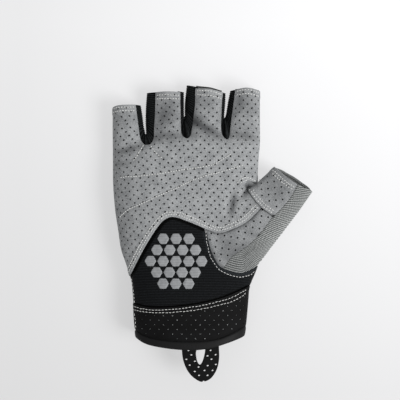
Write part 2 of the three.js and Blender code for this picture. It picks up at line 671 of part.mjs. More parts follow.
// Pull loop: a flat ring round its slot, hanging a little from under the hem.
function pullLoop() {
  const closed = [...LOOP_OUTLINE, LOOP_OUTLINE[0]];
  const height = (x, y) =>
    palmHeight(x, LOOP_ROOT_Y) - LOOP_UNDER_HEM - LOOP_DROOP * Math.max(0, LOOP_ROOT_Y - y);
  const rows = closed.map((row) =>
    even(2).map((u) => {
      const x = lerp(row.x, row.slotX, u);
      const y = lerp(row.y, row.slotY, u);
      return new THREE.Vector3(x, y, height(x, y));
    }),
  );
  return [rows.map((row) => row.reverse())];
}

const fabric = (color, roughness) =>
  new THREE.MeshStandardMaterial({ color, roughness, metalness: 0 });
const MATERIALS = {
  leather: fabric(0x8c8e90, 0.85),
  knit: fabric(0xa6a9a8, 0.9),
  web: fabric(0x111111, 0.9),
  heel: fabric(0x141515, 0.85),
  cuff: fabric(0x1d1d1d, 0.8),
};

// Every piece: its patches, its wall and its material.
const PIECES = {
  palm_panel: [palmPanel(), LEATHER, MATERIALS.leather],
  back_panel: [backPanel(), KNIT, MATERIALS.knit],
  thumb_tip_panel: [thumbTipPanel(), LEATHER, MATERIALS.leather],
  thumb_base_panel: [thumbBasePanel(), LEATHER, MATERIALS.leather],
  thumb_knit: [thumbKnit(), KNIT, MATERIALS.knit],
  heel_panel: [heelPanel(), HEEL, MATERIALS.heel],
  cuff_band: [cuffBand(), CUFF, MATERIALS.cuff],
  cuff_back: [cuffBack(), CUFF, MATERIALS.cuff],
  hem_binding: [hemBinding(), BINDING, MATERIALS.cuff],
  pull_loop: [pullLoop(), LOOP, MATERIALS.cuff],
};
for (const [name, slot] of Object.entries(SLOTS))
  PIECES[name] = [fingerWeb(slot), WEB, MATERIALS.web];

const glove = new THREE.Group();
for (const [name, [patches, wall, material]] of Object.entries(PIECES)) {
  const piece = new THREE.Mesh(walled(patches, wall), material);
  piece.name = name;
  glove.add(piece);
}

// The origin is under the middle of the glove, on the ground.
const box = new THREE.Box3().setFromObject(glove);
const centre = box.getCenter(new THREE.Vector3());
glove.position.set(-centre.x, -centre.y, -box.min.z);

export default glove;
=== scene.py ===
"""A right-hand fingerless paddle glove, lying on its back with the palm up.

The palm side and the back are two height surfaces over one plan, the same as in the frame. A
panel is a surface of two cloth coordinates in millimetres: it is cut out of the flat cloth,
laid on a height surface, given its wall, folds, ribs or punched holes, and sewn down."""

import math

import bmesh
import bpy
import numpy as np
from mathutils.geometry import delaunay_2d_cdt
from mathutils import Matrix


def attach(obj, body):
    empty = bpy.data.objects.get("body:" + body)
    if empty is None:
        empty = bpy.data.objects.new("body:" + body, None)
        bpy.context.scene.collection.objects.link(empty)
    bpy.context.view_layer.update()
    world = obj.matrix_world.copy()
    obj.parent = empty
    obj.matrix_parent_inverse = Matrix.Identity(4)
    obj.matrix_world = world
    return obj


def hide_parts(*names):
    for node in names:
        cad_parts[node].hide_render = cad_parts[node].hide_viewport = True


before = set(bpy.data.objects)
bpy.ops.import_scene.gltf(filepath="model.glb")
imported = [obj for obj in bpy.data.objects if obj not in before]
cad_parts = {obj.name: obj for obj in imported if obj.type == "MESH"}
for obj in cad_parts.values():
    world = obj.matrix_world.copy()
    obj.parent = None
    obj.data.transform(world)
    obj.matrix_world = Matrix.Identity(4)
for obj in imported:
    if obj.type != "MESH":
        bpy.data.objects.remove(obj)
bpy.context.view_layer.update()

MM = 0.001
ORIGIN = np.array([0.256, 0.332])  # mm that the glove's own plan lies off the frame's, in x and y
rng = np.random.default_rng(7)  # draws the small unevenness of the stitches


def table(names, rows):
    """Named columns of a short table, as arrays."""
    values = np.array(rows, float)
    return {name: values[:, i] for i, name in enumerate(names.split())}


# Cross-sections of the hand, from the wrist opening to the fingertips: both sides in plan, the
# side seam's height and the crown's.
HAND = table("y left right seam crown", [
    [-76, -50.0, 20.2, 15.0, 29.6],
    [-68.5, -50.5, 20.7, 15.0, 29.8],
    [-58.6, -51.6, 22.1, 15.0, 30.0],
    [-44, -52.5, 23.4, 14.8, 30.0],
    [-36.8, -53.1, 24.1, 14.5, 29.8],
    [-32, -53.7, 26.0, 14.2, 29.6],
    [-21.7, -56.7, 30.0, 13.5, 29.1],
    [-11, -60.4, 30.4, 13.0, 28.6],
    [2, -62.4, 30.2, 13.0, 28.2],
    [15.3, -64.4, 29.8, 13.0, 27.6],
    [33, -65.8, 29.7, 12.8, 26.2],
    [48.3, -66.0, 30.4, 11.8, 24.4],
    [60, -66.2, 31.5, 10.6, 22.6],
    [71.4, -66.3, 31.5, 9.8, 20.6],
    [98, -66.2, 31.4, 9.4, 19.4],
])

# Cross-sections of the thumb along its own axis, 0 at its opening: both sides, the height of its
# middle, and how far it stands above and below that.
THUMB_TIP = np.array([53.8, 35.8])
THUMB_AXIS = np.array([0.545, 0.839]) / math.hypot(0.545, 0.839)
THUMB_ACROSS = np.array([THUMB_AXIS[1], -THUMB_AXIS[0]])
THUMB = table("s left right middle above below", [
    [-75, -22.0, 7.0, 13.4, 4.0, 12.0],
    [-61, -24.0, 11.3, 13.4, 9.5, 13.2],
    [-45, -24.0, 12.8, 13.6, 11.4, 13.4],
    [-27.5, -22.0, 14.1, 14.4, 11.0, 11.2],
    [-15.4, -18.8, 14.9, 15.6, 9.4, 9.2],
    [0, -15.1, 15.1, 19.4, 7.8, 7.8],
    [4, -14.8, 15.1, 20.2, 7.6, 7.6],
])

# Slots between the fingers: the panels' edge from one finger's end round the crotch to the
# next one's, and how far the web stands into the slot at half height.
SLOTS = {
    "web_little_ring": table("x y web_x web_y", [
        [-51.2, 85.2, -47.7, 85.0], [-50.0, 77.5, -46.6, 78.0], [-49.0, 70.0, -45.8, 71.4],
        [-47.9, 62.8, -45.2, 68.7], [-45.8, 59.4, -45.0, 67.0], [-42.9, 58.3, -44.7, 66.1],
        [-40.6, 59.4, -44.5, 67.0], [-39.2, 62.5, -44.7, 69.2], [-38.6, 72.0, -44.9, 75.0],
        [-38.1, 82.0, -44.7, 84.0], [-37.6, 93.5, -44.0, 93.3],
    ]),
    "web_ring_middle": table("x y web_x web_y", [
        [-21.5, 94.0, -18.9, 93.8], [-21.3, 84.0, -18.8, 84.0], [-21.1, 74.0, -18.8, 77.0],
        [-20.8, 68.0, -18.9, 77.0], [-19.6, 64.2, -18.8, 75.6], [-16.9, 62.5, -18.6, 75.2],
        [-14.7, 64.2, -18.4, 75.6], [-13.8, 68.5, -18.6, 78.0], [-12.8, 75.5, -18.7, 82.0],
        [-11.7, 84.0, -18.5, 88.0], [-11.1, 97.2, -17.3, 98.6],
    ]),
    "web_middle_index": table("x y web_x web_y", [
        [6.8, 93.4, 9.0, 93.0], [6.3, 87.0, 8.8, 86.0], [5.9, 78.0, 8.3, 80.5],
        [5.7, 70.0, 8.1, 79.0], [6.9, 64.5, 8.1, 77.4], [9.5, 61.8, 8.2, 77.0],
        [11.1, 64.0, 8.4, 77.4], [11.9, 70.0, 9.1, 79.6], [12.9, 78.0, 9.6, 83.0],
        [14.1, 86.5, 10.5, 88.6], [15.3, 95.2, 11.8, 94.8],
    ]),
}
CROTCH_ROW = 5  # the row of a slot's table that lies at its crotch

# A finger's cross-section: the heights of its edges and of its crown over them, and its roundness.
FINGER = {"edge": 15.2, "crown": 3.6, "crown_power": 2.2, "back_edge": 2.4, "back_power": 4}
FINGER_ROOT = [52.5, 58.3, 62.5, 61.8, 60.0]  # y of the roots: left side, three crotches, right side
KNUCKLE = (-3, 6)  # mm past a root over which the palm's cross-section turns into the finger's
CROWN_POWER = 2.5  # roundness of the palm side's cross-section
BACK_POWER = 2.8  # roundness of the back's cross-section
BACK_FLAT = 1.5  # the back would bulge this much lower if the ground did not flatten it
SIDE_REACH = 1.05  # the side seam's height holds this far out, in half widths of the hand
THUMB_REACH = 0.5  # the thumb's middle height holds this far out of its sides
BLEND = {"palm": 4, "back": 2}  # mm over which hand and thumb run together

# Creases and hollows of the palm side: place, half length and half width, turn in degrees from
# X, and depth. They lie at the finger roots, in the fingers, round the thumb and at the side.
DENTS = table("x y long wide turn deep", [
    [-33, 65, 9, 2.6, 6, 1.5],
    [-32.5, 80, 7, 5.0, 60, 1.5],
    [-12, 75.5, 6, 2.8, -38, 3.2],
    [-3, 68, 8, 2.6, -25, 2.9],
    [17, 87, 7, 4.0, 80, 0.9],
    [22, 64, 9, 2.8, -12, 2.2],
    [-57, 56, 9, 2.8, 10, 2.1],
    [-60, 47, 7, 1.8, 5, 0.9],
    [-60, 39, 7, 1.8, 0, 0.7],
    [12.5, 19, 9, 2.2, 78, 2.6],
    [21.5, 28, 5.5, 2.0, 50, 3.0],
    [6, 37, 6, 1.8, 30, 0.7],
    [3, -9, 12, 8.0, -65, 2.6],
    [16, -14, 10, 6.0, 45, 1.6],
    [37, 30, 13, 8.0, 57, 1.8],
])

# Painted shade in the leather's creases and hollows and on its slopes turned from the light, in the
# same form: the last column is the share of the painted shade's dark colour.
PAINTED_SHADE_BELLS = table("x y long wide turn deep", [
    [-29.5, 81, 15, 8.5, 90, 0.46],
    [-59, 77, 12, 8.0, 90, 0.28],
    [-33, 76, 7, 5.0, 60, 0.30],
    [-14, 73.5, 5, 3.6, -15, 0.55],
    [-9, 72, 7, 3.2, -35, 0.55],
    [-1, 68, 7, 2.8, -25, 0.60],
    [-2, 87, 11, 8.0, 90, 0.26],
    [-33, 65, 9, 2.6, 4, 0.42],
    [22, 64.5, 8, 2.6, -12, 0.60],
    [25, 86, 12, 9.0, 90, 0.30],
    [-57, 55, 9, 2.6, 10, 0.42],
    [-60, 46, 8, 2.2, 5, 0.25],
    [-60, 8, 50, 13.0, 90, 0.22],
    [17, 86, 9, 4.0, 80, 0.22],
    [7, 80, 9, 3.0, 60, 0.18],
    [12.8, 19, 9, 2.6, 78, 0.62],
    [22.5, 27.5, 5.5, 2.2, 55, 0.75],
    [24.5, 31.5, 3.5, 1.6, 20, 0.45],
    [9, -8, 16, 7.0, -65, 0.30],
    [18, -13, 9, 5.0, 40, 0.28],
    [45, 31, 13, 12.0, 57, 0.24],
    [22, -3, 24, 10.0, 42, 0.26],
])

# Small pits where a seam ends: at the strip's corner and on the thumb knit's seam. Each is
# painted with shade, and sinks the base leather and the knit.
PITS = table("x y long wide turn deep", [
    [39.6, 11.5, 0.9, 0.8, 0, 1.4],
    [30.4, -0.9, 1.2, 0.7, 45, 0.8],
])

# Seams and edges in plan, each as points of its curve.
PALM_EDGE = [
    [-54.8, -28.6], [-44.6, -9.4], [-36, 4.1], [-30.5, 9.6], [-24.8, 10.7], [-14.9, 7.4],
    [-4, 2.8], [3, 0.5], [9.5, 1.5], [22.1, 7.4], [32, 17],
]
THUMB_FOLD = [[32, 17], [26.1, 24.1], [21.3, 32]]
THUMB_FOLD_OUTER = [[39.6, 11.6], [32, 17]]
THUMB_RIM = [[21.3, 32], [22.6, 34.6], [25.6, 34.2], [29.7, 33.1]]
THUMB_SIDE = [[29.7, 33.1], [36.5, 39.9], [41, 43.7]]
THUMB_MOUTH = [[41, 43.6], [45.0, 40.0], [48.5, 36.9], [52.3, 34.2], [55.4, 32.2]]
KNIT_MOUTH = [[55.4, 32.2], [60.4, 29.7], [64.4, 28.2], [66.2, 27]]
BACK_MOUTH = [
    [41, 43.7], [45.8, 42.2], [50.5, 39.6], [55.0, 37.1], [59.6, 33.8], [64.3, 30.2], [66.2, 27],
]
KNIT_SEAM_LOWER = [[6.9, -22.8], [12.9, -15], [23.4, -7.8], [32.7, 2.1], [39.6, 11.6]]
KNIT_SEAM_UPPER = [[39.6, 11.6], [45.2, 16.6], [51.2, 23.9], [55.1, 31.8]]
HEEL_SEAM = [[-4, 2.8], [-3.3, -1.8], [-0.8, -11.5], [3.4, -19.8], [6.9, -22.8]]
KNIT_FOOT = [[6.9, -22.8], [13, -24.9], [21, -25.6], [30, -21.7]]
BAND_EDGE = [[-52.2, -46.6], [-38, -48.3], [-14.9, -46.5], [5, -42.2], [23.9, -34.8]]
HEM_TOP = [[-50.9, -64.5], [-41.3, -68.4], [-21.5, -70.5], [1.7, -69.2], [21.7, -61.6]]
HEM_BOTTOM = [[-50.4, -69.2], [-41.3, -73.1], [-20.1, -75.8], [-2, -74.9], [20.7, -68.2]]
BACK_WAIST = [[-55.2, -26.5], [-18, -26.8], [20, -25.2]]
WAIST_CORNER = [[20, -25.2], [25, -24], [30, -21.7]]
BACK_SEAM = [[20, -25.2], [23, -5], [26.5, 18], [29.7, 33.1]]
HEM_BACK = {"top": -62, "bottom": -68}  # y of the binding's two edges in the middle of the back
FINGER_ENDS = [
    [[-66.2, 83.4], [-62, 84.6], [-51.2, 85.2]],
    [[-37.6, 93.5], [-29.5, 93.7], [-21.5, 93.5]],
    [[-11.1, 95.9], [-1.7, 95.2], [6.8, 93.4]],
    [[15.3, 95.2], [23, 96.2], [31.4, 94.5]],
]
# Ends of the back's fingers, a little past the palm side's.
BACK_ENDS = [
    [[-66.2, 84.4], [-62, 85.6], [-51.2, 86.2]],
    [[-37.6, 94.7], [-29.5, 94.9], [-21.5, 94.7]],
    [[-11.1, 99.0], [-1.7, 98.2], [6.8, 95.8]],
    [[15.3, 96.8], [23, 97.6], [31.4, 95.7]],
]
# Outline of the pull loop and of its slot, from their left ends round to their right ones.
LOOP_OUTLINE = table("x y slot_x slot_y", [
    [-20.1, -71.6, -10.4, -75.9], [-20.1, -76.4, -10.9, -78.0], [-19.6, -81.7, -10.8, -80.4],
    [-18.2, -86.6, -10.3, -83.4], [-16.0, -91.0, -9.6, -85.2], [-12.6, -94.9, -8.9, -86.2],
    [-7.4, -97.9, -8.2, -86.5], [-2.2, -96.4, -7.5, -85.9], [1.2, -92.6, -6.9, -84.9],
    [3.4, -87.6, -6.2, -83.2], [4.3, -81.6, -5.5, -80.6], [4.2, -76.2, -5.0, -78.0],
    [4.0, -71.6, -4.8, -75.9],
])
LOOP_ROOT_Y = -72  # where the loop comes out from under the hem
LOOP_UNDER_HEM = 3.4  # mm that it lies below the palm side's height there
LOOP_DROOP = 0.22  # and how steeply it droops from there on


def lerp(a, b, share):
    """Straight blend from a to b."""
    return a + (b - a) * share


def smoothstep(value, start, end):
    """0 before start, 1 after end, and an S between them."""
    t = np.clip((value - start) / (end - start), 0, 1)
    return t * t * (3 - 2 * t)


def read(rows, key, column, value):
    """Smooth value of one column: cubics through its rows, sloped by each row's neighbours."""
    keys, values = rows[key], rows[column]
    ends = np.r_[0, np.arange(len(keys)), len(keys) - 1]
    slopes = (values[ends[2:]] - values[ends[:-2]]) / (keys[ends[2:]] - keys[ends[:-2]])
    i = np.clip(np.searchsorted(keys, value, side="left") - 1, 0, len(keys) - 2)
    span = keys[i + 1] - keys[i]
    t = np.clip((value - keys[i]) / span, 0, 1)
    bend = t * (1 - t) ** 2 * slopes[i] + t * t * (t - 1) * slopes[i + 1]
    return lerp(values[i], values[i + 1], t * t * (3 - 2 * t)) + bend * span


def arch(t, power):
    """Superellipse: 1 in the middle, 0 with an upright end at |t| = 1."""
    return np.maximum(0, 1 - np.minimum(1, np.abs(t)) ** power) ** (1 / power)


def smooth_max(a, b, width):
    """The larger of two heights, rounded where they cross."""
    near = np.maximum(width - np.abs(a - b), 0) / width
    return np.maximum(a, b) + near * near * width / 4


def slot_edge(rows, side, y):
    """x of a slot's edge at y; below the crotch both edges run straight down."""
    pick = slice(CROTCH_ROW, None, -1) if side < 0 else slice(CROTCH_ROW, None)
    half = {"x": rows["x"][pick], "y": rows["y"][pick]}
    return np.where(y <= half["y"][0], half["x"][0], read(half, "y", "x", y))


def finger_place(x, y):
    """Where a point lies across its finger, -1 to 1, and whether that half is an outer side."""
    slots = list(SLOTS.values())
    lefts = [slot_edge(rows, -1, y) for rows in slots]
    index = sum((x > left).astype(int) for left in lefts)
    starts = [read(HAND, "y", "left", y)] + [slot_edge(rows, 1, y) for rows in slots]
    ends = lefts + [read(HAND, "y", "right", y)]
    start, end = np.choose(index, starts), np.choose(index, ends)
    t = (2 * x - start - end) / (end - start)
    return t, ((t < 0) & (index == 0)) | ((t > 0) & (index == len(slots)))


def finger_share(x, y):
    """Share of the finger's own cross-section: 0 in the palm, 1 well up the finger."""
    sides = [read(HAND, "y", side, FINGER_ROOT[0]) for side in ("left", "right")]
    crotches = [rows["x"][CROTCH_ROW] for rows in SLOTS.values()]
    root = np.interp(x, [sides[0], *crotches, sides[1]], FINGER_ROOT)
    return smoothstep(y - root, *KNUCKLE)


def thumb_place(x, y):
    """Place in the thumb's own frame: along it, across it from -1 to 1, and whether inside."""
    dx, dy = x - THUMB_TIP[0], y - THUMB_TIP[1]
    s = dx * THUMB_AXIS[0] + dy * THUMB_AXIS[1]
    d = dx * THUMB_ACROSS[0] + dy * THUMB_ACROSS[1]
    left, right = (read(THUMB, "s", side, s) for side in ("left", "right"))
    inside = (s > THUMB["s"][0]) & (d > left - THUMB_REACH) & (d < right + THUMB_REACH)
    return s, (2 * d - left - right) / (right - left), inside


def hand_place(x, y, thumb_inside):
    """Place across the hand from -1 to 1, its side seam's height, and whether inside."""
    left, right = (read(HAND, "y", side, y) for side in ("left", "right"))
    t = (2 * x - left - right) / (right - left)
    return t, read(HAND, "y", "seam", y), (np.abs(t) < SIDE_REACH) | ~thumb_inside


def bells(rows, x, y):
    """Sum of the rows' bells, each a bell shape along and across itself."""
    depth = np.zeros_like(x)
    for cx, cy, long, wide, turn, deep in zip(*rows.values()):
        cos, sin = math.cos(math.radians(turn)), math.sin(math.radians(turn))
        along = ((x - cx) * cos + (y - cy) * sin) / long
        across = ((y - cy) * cos - (x - cx) * sin) / wide
        depth = depth + deep * np.exp(-along ** 2 - across ** 2)
    return depth


def palm_height(x, y):
    """Height of the palm side: a superellipse over the hand that turns into one ridge for each
    finger, run together with the thumb's own superellipse, less the dents."""
    s, across, in_thumb = thumb_place(x, y)
    t_hand, seam, in_hand = hand_place(x, y, in_thumb)
    palm = seam + (read(HAND, "y", "crown", y) - seam) * arch(t_hand, CROWN_POWER)
    t, outer = finger_place(x, y)
    top = FINGER["edge"] + FINGER["crown"]
    inner_ridge = top - FINGER["crown"] * np.minimum(1, np.abs(t)) ** FINGER["crown_power"]
    ridge = np.where(outer, seam + (top - seam) * arch(t, CROWN_POWER), inner_ridge)
    hand = np.where(in_hand, lerp(palm, ridge, finger_share(x, y)), -1e3)
    thumb = read(THUMB, "s", "middle", s) + read(THUMB, "s", "above", s) * arch(across, CROWN_POWER)
    both = smooth_max(hand, np.where(in_thumb, thumb, -1e3), BLEND["palm"])
    return both - bells(DENTS, x, y)


def back_height(x, y, wall=0.0):
    """Height of the back, the palm side's mirror with its own roundness, flattened where a wall
    that stands out of it meets the ground."""
    s, across, in_thumb = thumb_place(x, y)
    t_hand, seam, in_hand = hand_place(x, y, in_thumb)
    palm = seam - (seam + BACK_FLAT) * arch(t_hand, BACK_POWER)
    t, outer = finger_place(x, y)
    inner_ridge = FINGER["back_edge"] * np.minimum(1, np.abs(t)) ** FINGER["back_power"]
    ridge = np.where(outer, seam - (seam + BACK_FLAT) * arch(t, BACK_POWER), inner_ridge)
    hand = np.where(in_hand, lerp(palm, ridge, finger_share(x, y)), 1e3)
    under = read(THUMB, "s", "middle", s) - read(THUMB, "s", "below", s) * arch(across, CROWN_POWER)
    both = -smooth_max(-hand, -np.where(in_thumb, under, 1e3), BLEND["back"])
    return np.maximum(wall, both)


def spline(rows):
    """Catmull-Rom curve through the rows, for t from 0 to 1, running on straight past its ends."""
    points = np.array(rows, float)
    padded = np.vstack([points[:1], points, points[-1:]])

    def at(t):
        place = np.asarray(t, float) * (len(points) - 1)
        i = np.clip(np.floor(place).astype(int), 0, len(points) - 2)
        over = (place - i)[..., None]
        w = np.clip(over, 0, 1)
        a, b, c, d = (padded[i + k] for k in range(4))
        start, end = (c - a) / 2, (d - b) / 2
        cubic, square = 2 * b - 2 * c + start + end, -3 * b + 3 * c - 2 * start - end
        slope = 3 * cubic * w ** 2 + 2 * square * w + start
        return cubic * w ** 3 + square * w ** 2 + start * w + b + slope * (over - w)

    return at


def side(column, start, end):
    """The hand's own left or right side in plan, from one y to another."""
    def at(t):
        y = lerp(start, end, np.asarray(t, float))
        return np.stack([read(HAND, "y", column, y), y], axis=-1)

    return at


def traced(curve, spacing=0.5):
    """Points of a curve at an even spacing."""
    fine = curve(np.linspace(0, 1, 400))
    length = np.r_[0, np.cumsum(np.linalg.norm(np.diff(fine, axis=0), axis=1))]
    steps = max(2, int(round(length[-1] / spacing)))
    wanted = np.linspace(0, length[-1], steps + 1)
    return np.stack([np.interp(wanted, length, fine[:, i]) for i in (0, 1)], axis=1)


def backwards(curve):
    """The curve run from its end to its start."""
    return lambda t: curve(1 - np.asarray(t, float))


def part(curve, start, end):
    """The stretch of a curve between two values of its parameter."""
    return lambda t: curve(lerp(start, end, np.asarray(t, float)))


def chain(curves, cuts):
    """Curves end to end, the next one starting at each cut."""
    ends = [0, *cuts, 1]

    def at(t):
        t = np.asarray(t, float)
        i = np.clip(np.searchsorted(ends, t, side="left") - 1, 0, len(curves) - 1)
        parts = [c((t - ends[k]) / (ends[k + 1] - ends[k])) for k, c in enumerate(curves)]
        return np.choose(i[..., None], parts)

    return at


def coons(south, north, west, east):
    """Plan surface through four boundary curves: both pairs blended, less the corners twice."""
    def at(us, vs):
        u, v = us[None, :, None], vs[:, None, None]
        s, n, w, e = south(us)[None], north(us)[None], west(vs)[:, None], east(vs)[:, None]
        corners = (1 - u) * (1 - v) * south(0.0) + u * (1 - v) * south(1.0)
        corners = corners + (1 - u) * v * north(0.0) + u * v * north(1.0)
        return (1 - v) * s + v * n + (1 - u) * w + u * e - corners

    return at


class Cloth:
    """A height surface laid out flat. p runs along an axis in plan, and q is the length walked
    over the surface across that axis. Sampled cross-sections turn plan points into (q, p) and
    back; their samples crowd towards the upright sides as the sine of an even angle does."""

    ROWS_APART = 0.8
    STEPS = 180
    SHARES = 400

    def __init__(self, height, origin, axis, reach, low, high, up=1):
        self.height, self.up = height, up
        self.origin, self.axis = np.array(origin, float), np.array(axis, float)
        self.across = np.array([self.axis[1], -self.axis[0]])
        self.rows = np.arange(reach[0], reach[1] + self.ROWS_APART, self.ROWS_APART)
        self.low, self.high = low(self.rows), high(self.rows)
        turn = np.linspace(-np.pi / 2, np.pi / 2, self.STEPS + 1)
        c = lerp(self.low[:, None], self.high[:, None], (1 + np.sin(turn)) / 2)
        xyz = self.lift(c, np.broadcast_to(self.rows[:, None], c.shape))
        steps = np.linalg.norm(np.diff(xyz, axis=1), axis=2)
        walked = np.concatenate([np.zeros((len(c), 1)), np.cumsum(steps, axis=1)], axis=1)
        walked -= np.array([np.interp(0, row, q) for row, q in zip(c, walked)])[:, None]
        self.walked = walked
        shares = np.linspace(0, 1, self.SHARES + 1)
        self.turns = np.array([np.interp(lerp(q[0], q[-1], shares), q, turn) for q in walked])

    def lift(self, c, p):
        """Point in space over the plan point c across and p along."""
        x = self.origin[0] + c * self.across[0] + p * self.axis[0]
        y = self.origin[1] + c * self.across[1] + p * self.axis[1]
        return np.stack([x, y, self.height(x, y)], axis=-1)

    def sampled(self, grid, row, column):
        """Value of a table between its rows and columns, straight both ways."""
        row = np.clip(row, 0, len(grid) - 1.001)
        column = np.clip(column, 0, grid.shape[1] - 1.001)
        i, j = row.astype(int), column.astype(int)
        u, v = row - i, column - j
        return lerp(lerp(grid[i, j], grid[i, j + 1], v), lerp(grid[i + 1, j], grid[i + 1, j + 1], v), u)

    def flat(self, plan):
        """Cloth coordinates of plan points."""
        offset = np.asarray(plan, float) - self.origin
        c, p = offset @ self.across, offset @ self.axis
        low, high = np.interp(p, self.rows, self.low), np.interp(p, self.rows, self.high)
        turn = np.arcsin(np.clip(2 * (c - low) / (high - low) - 1, -1, 1))
        column = (turn / np.pi + 0.5) * self.STEPS
        q = self.sampled(self.walked, (p - self.rows[0]) / self.ROWS_APART, column)
        return np.stack([q, p], axis=-1)

    def at(self, q, p):
        """Point in space at cloth coordinates."""
        row = (p - self.rows[0]) / self.ROWS_APART
        zero = np.zeros_like(row)
        start = self.sampled(self.walked, row, zero)
        end = self.sampled(self.walked, row, zero + self.STEPS)
        share = np.clip((q - start) / (end - start), 0, 1)
        turn = self.sampled(self.turns, row, share * self.SHARES)
        low, high = np.interp(p, self.rows, self.low), np.interp(p, self.rows, self.high)
        return self.lift(lerp(low, high, (1 + np.sin(turn)) / 2), p)

    def placed(self, q, p, step=0.3):
        """Points and outward normals, from differences a small step apart along q and p."""
        along = self.at(q, p + step) - self.at(q, p - step)
        over = self.at(q + step, p) - self.at(q - step, p)
        normal = np.cross(over, along) * self.up
        return self.at(q, p), normal / np.linalg.norm(normal, axis=-1, keepdims=True)


def distance_to(points, path):
    """Distance of each flat point to the nearest point of a path."""
    found = [np.sqrt(((chunk[:, None] - path[None]) ** 2).sum(2)).min(1)
             for chunk in np.array_split(points, max(1, len(points) // 1500))]
    return np.concatenate(found)


def inside(points, outline):
    """Even-odd test: a point is inside if a ray from it crosses the outline an odd number of times."""
    a, b = outline, np.roll(outline, -1, axis=0)
    found = []
    for chunk in np.array_split(points, max(1, len(points) // 1500)):
        x, y = chunk[:, :1], chunk[:, 1:]
        spans = (a[:, 1] > y) != (b[:, 1] > y)
        rise = np.where(b[:, 1] == a[:, 1], 1, b[:, 1] - a[:, 1])
        cross = (b[:, 0] - a[:, 0]) * (y - a[:, 1]) / rise + a[:, 0]
        found.append((spans & (x < cross)).sum(1) % 2 == 1)
    return np.concatenate(found)


def lattice(low, high, step, turn=0.0, stagger=True, middle=None):
    """Points of a lattice that covers a box: rows step[1] apart with points step[0] apart, every
    other row moved by half a step, all turned by an angle in degrees about a point of it."""
    reach = np.linalg.norm(high - low) + max(step)
    middle = (low + high) / 2 if middle is None else middle
    u = np.arange(-int(reach / step[0]), int(reach / step[0]) + 1) * step[0]
    rows = np.arange(-int(reach / step[1]), int(reach / step[1]) + 1)
    grid = np.stack(np.meshgrid(u, rows * step[1]), axis=-1)
    if stagger:
        grid[rows % 2 == 1, :, 0] += step[0] / 2
    cos, sin = math.cos(math.radians(turn)), math.sin(math.radians(turn))
    grid = grid.reshape(-1, 2) @ np.array([[cos, sin], [-sin, cos]]) + middle
    return grid[(grid > low).all(1) & (grid < high).all(1)]


def new_object(name, points, faces, uv=None, shades=None, sharp=35):
    """A mesh object from arrays in plan millimetres, with its cloth coordinates as a UV map."""
    mesh = bpy.data.meshes.new(name)
    points = (points + [ORIGIN[0], ORIGIN[1], 0]) * MM
    mesh.from_pydata(points.tolist(), [], faces)
    mesh.polygons.foreach_set("use_smooth", np.ones(len(mesh.polygons), bool))
    corner = np.empty(len(mesh.loops), np.int32)
    mesh.loops.foreach_get("vertex_index", corner)
    if uv is not None:
        layer = mesh.uv_layers.new(name="cloth")
        layer.data.foreach_set("uv", uv[corner].astype(np.float32).ravel())
    for label, values in (shades or {}).items():
        mesh.attributes.new(label, "FLOAT", "POINT").data.foreach_set("value", values.astype(np.float32))
    mesh.set_sharp_from_angle(angle=math.radians(sharp))
    mesh.update()
    piece = bpy.data.objects.new(name, mesh)
    bpy.context.scene.collection.objects.link(piece)
    return piece


def free_edges(faces, count):
    """Edges that only one triangle has, in that triangle's direction."""
    edges = np.vstack([faces[:, [0, 1]], faces[:, [1, 2]], faces[:, [2, 0]]])
    keys, back = edges[:, 0] * count + edges[:, 1], edges[:, 1] * count + edges[:, 0]
    return edges[~np.isin(keys, back)]


ROUND = 0.35  # mm over which a cut or folded edge rounds off
LEAST_WALL = 0.1  # mm that a wall keeps under its rounded edge
INSETS = (0.1, 0.28, 0.7)  # mm inside an edge where it gets rows of points
LATTICE_CLEAR = 0.3  # mm from the innermost of those rows to the lattice of points
HOLE_CLEAR = {"lattice": 0.4, "rows": 0.2}  # mm that other points keep from a punched hole
HOLE_SIDES = 10
# The rims of the punched holes are painted with shade.
HOLE_RIM = 0.05  # share of a groove's dark on the rim of a punched hole


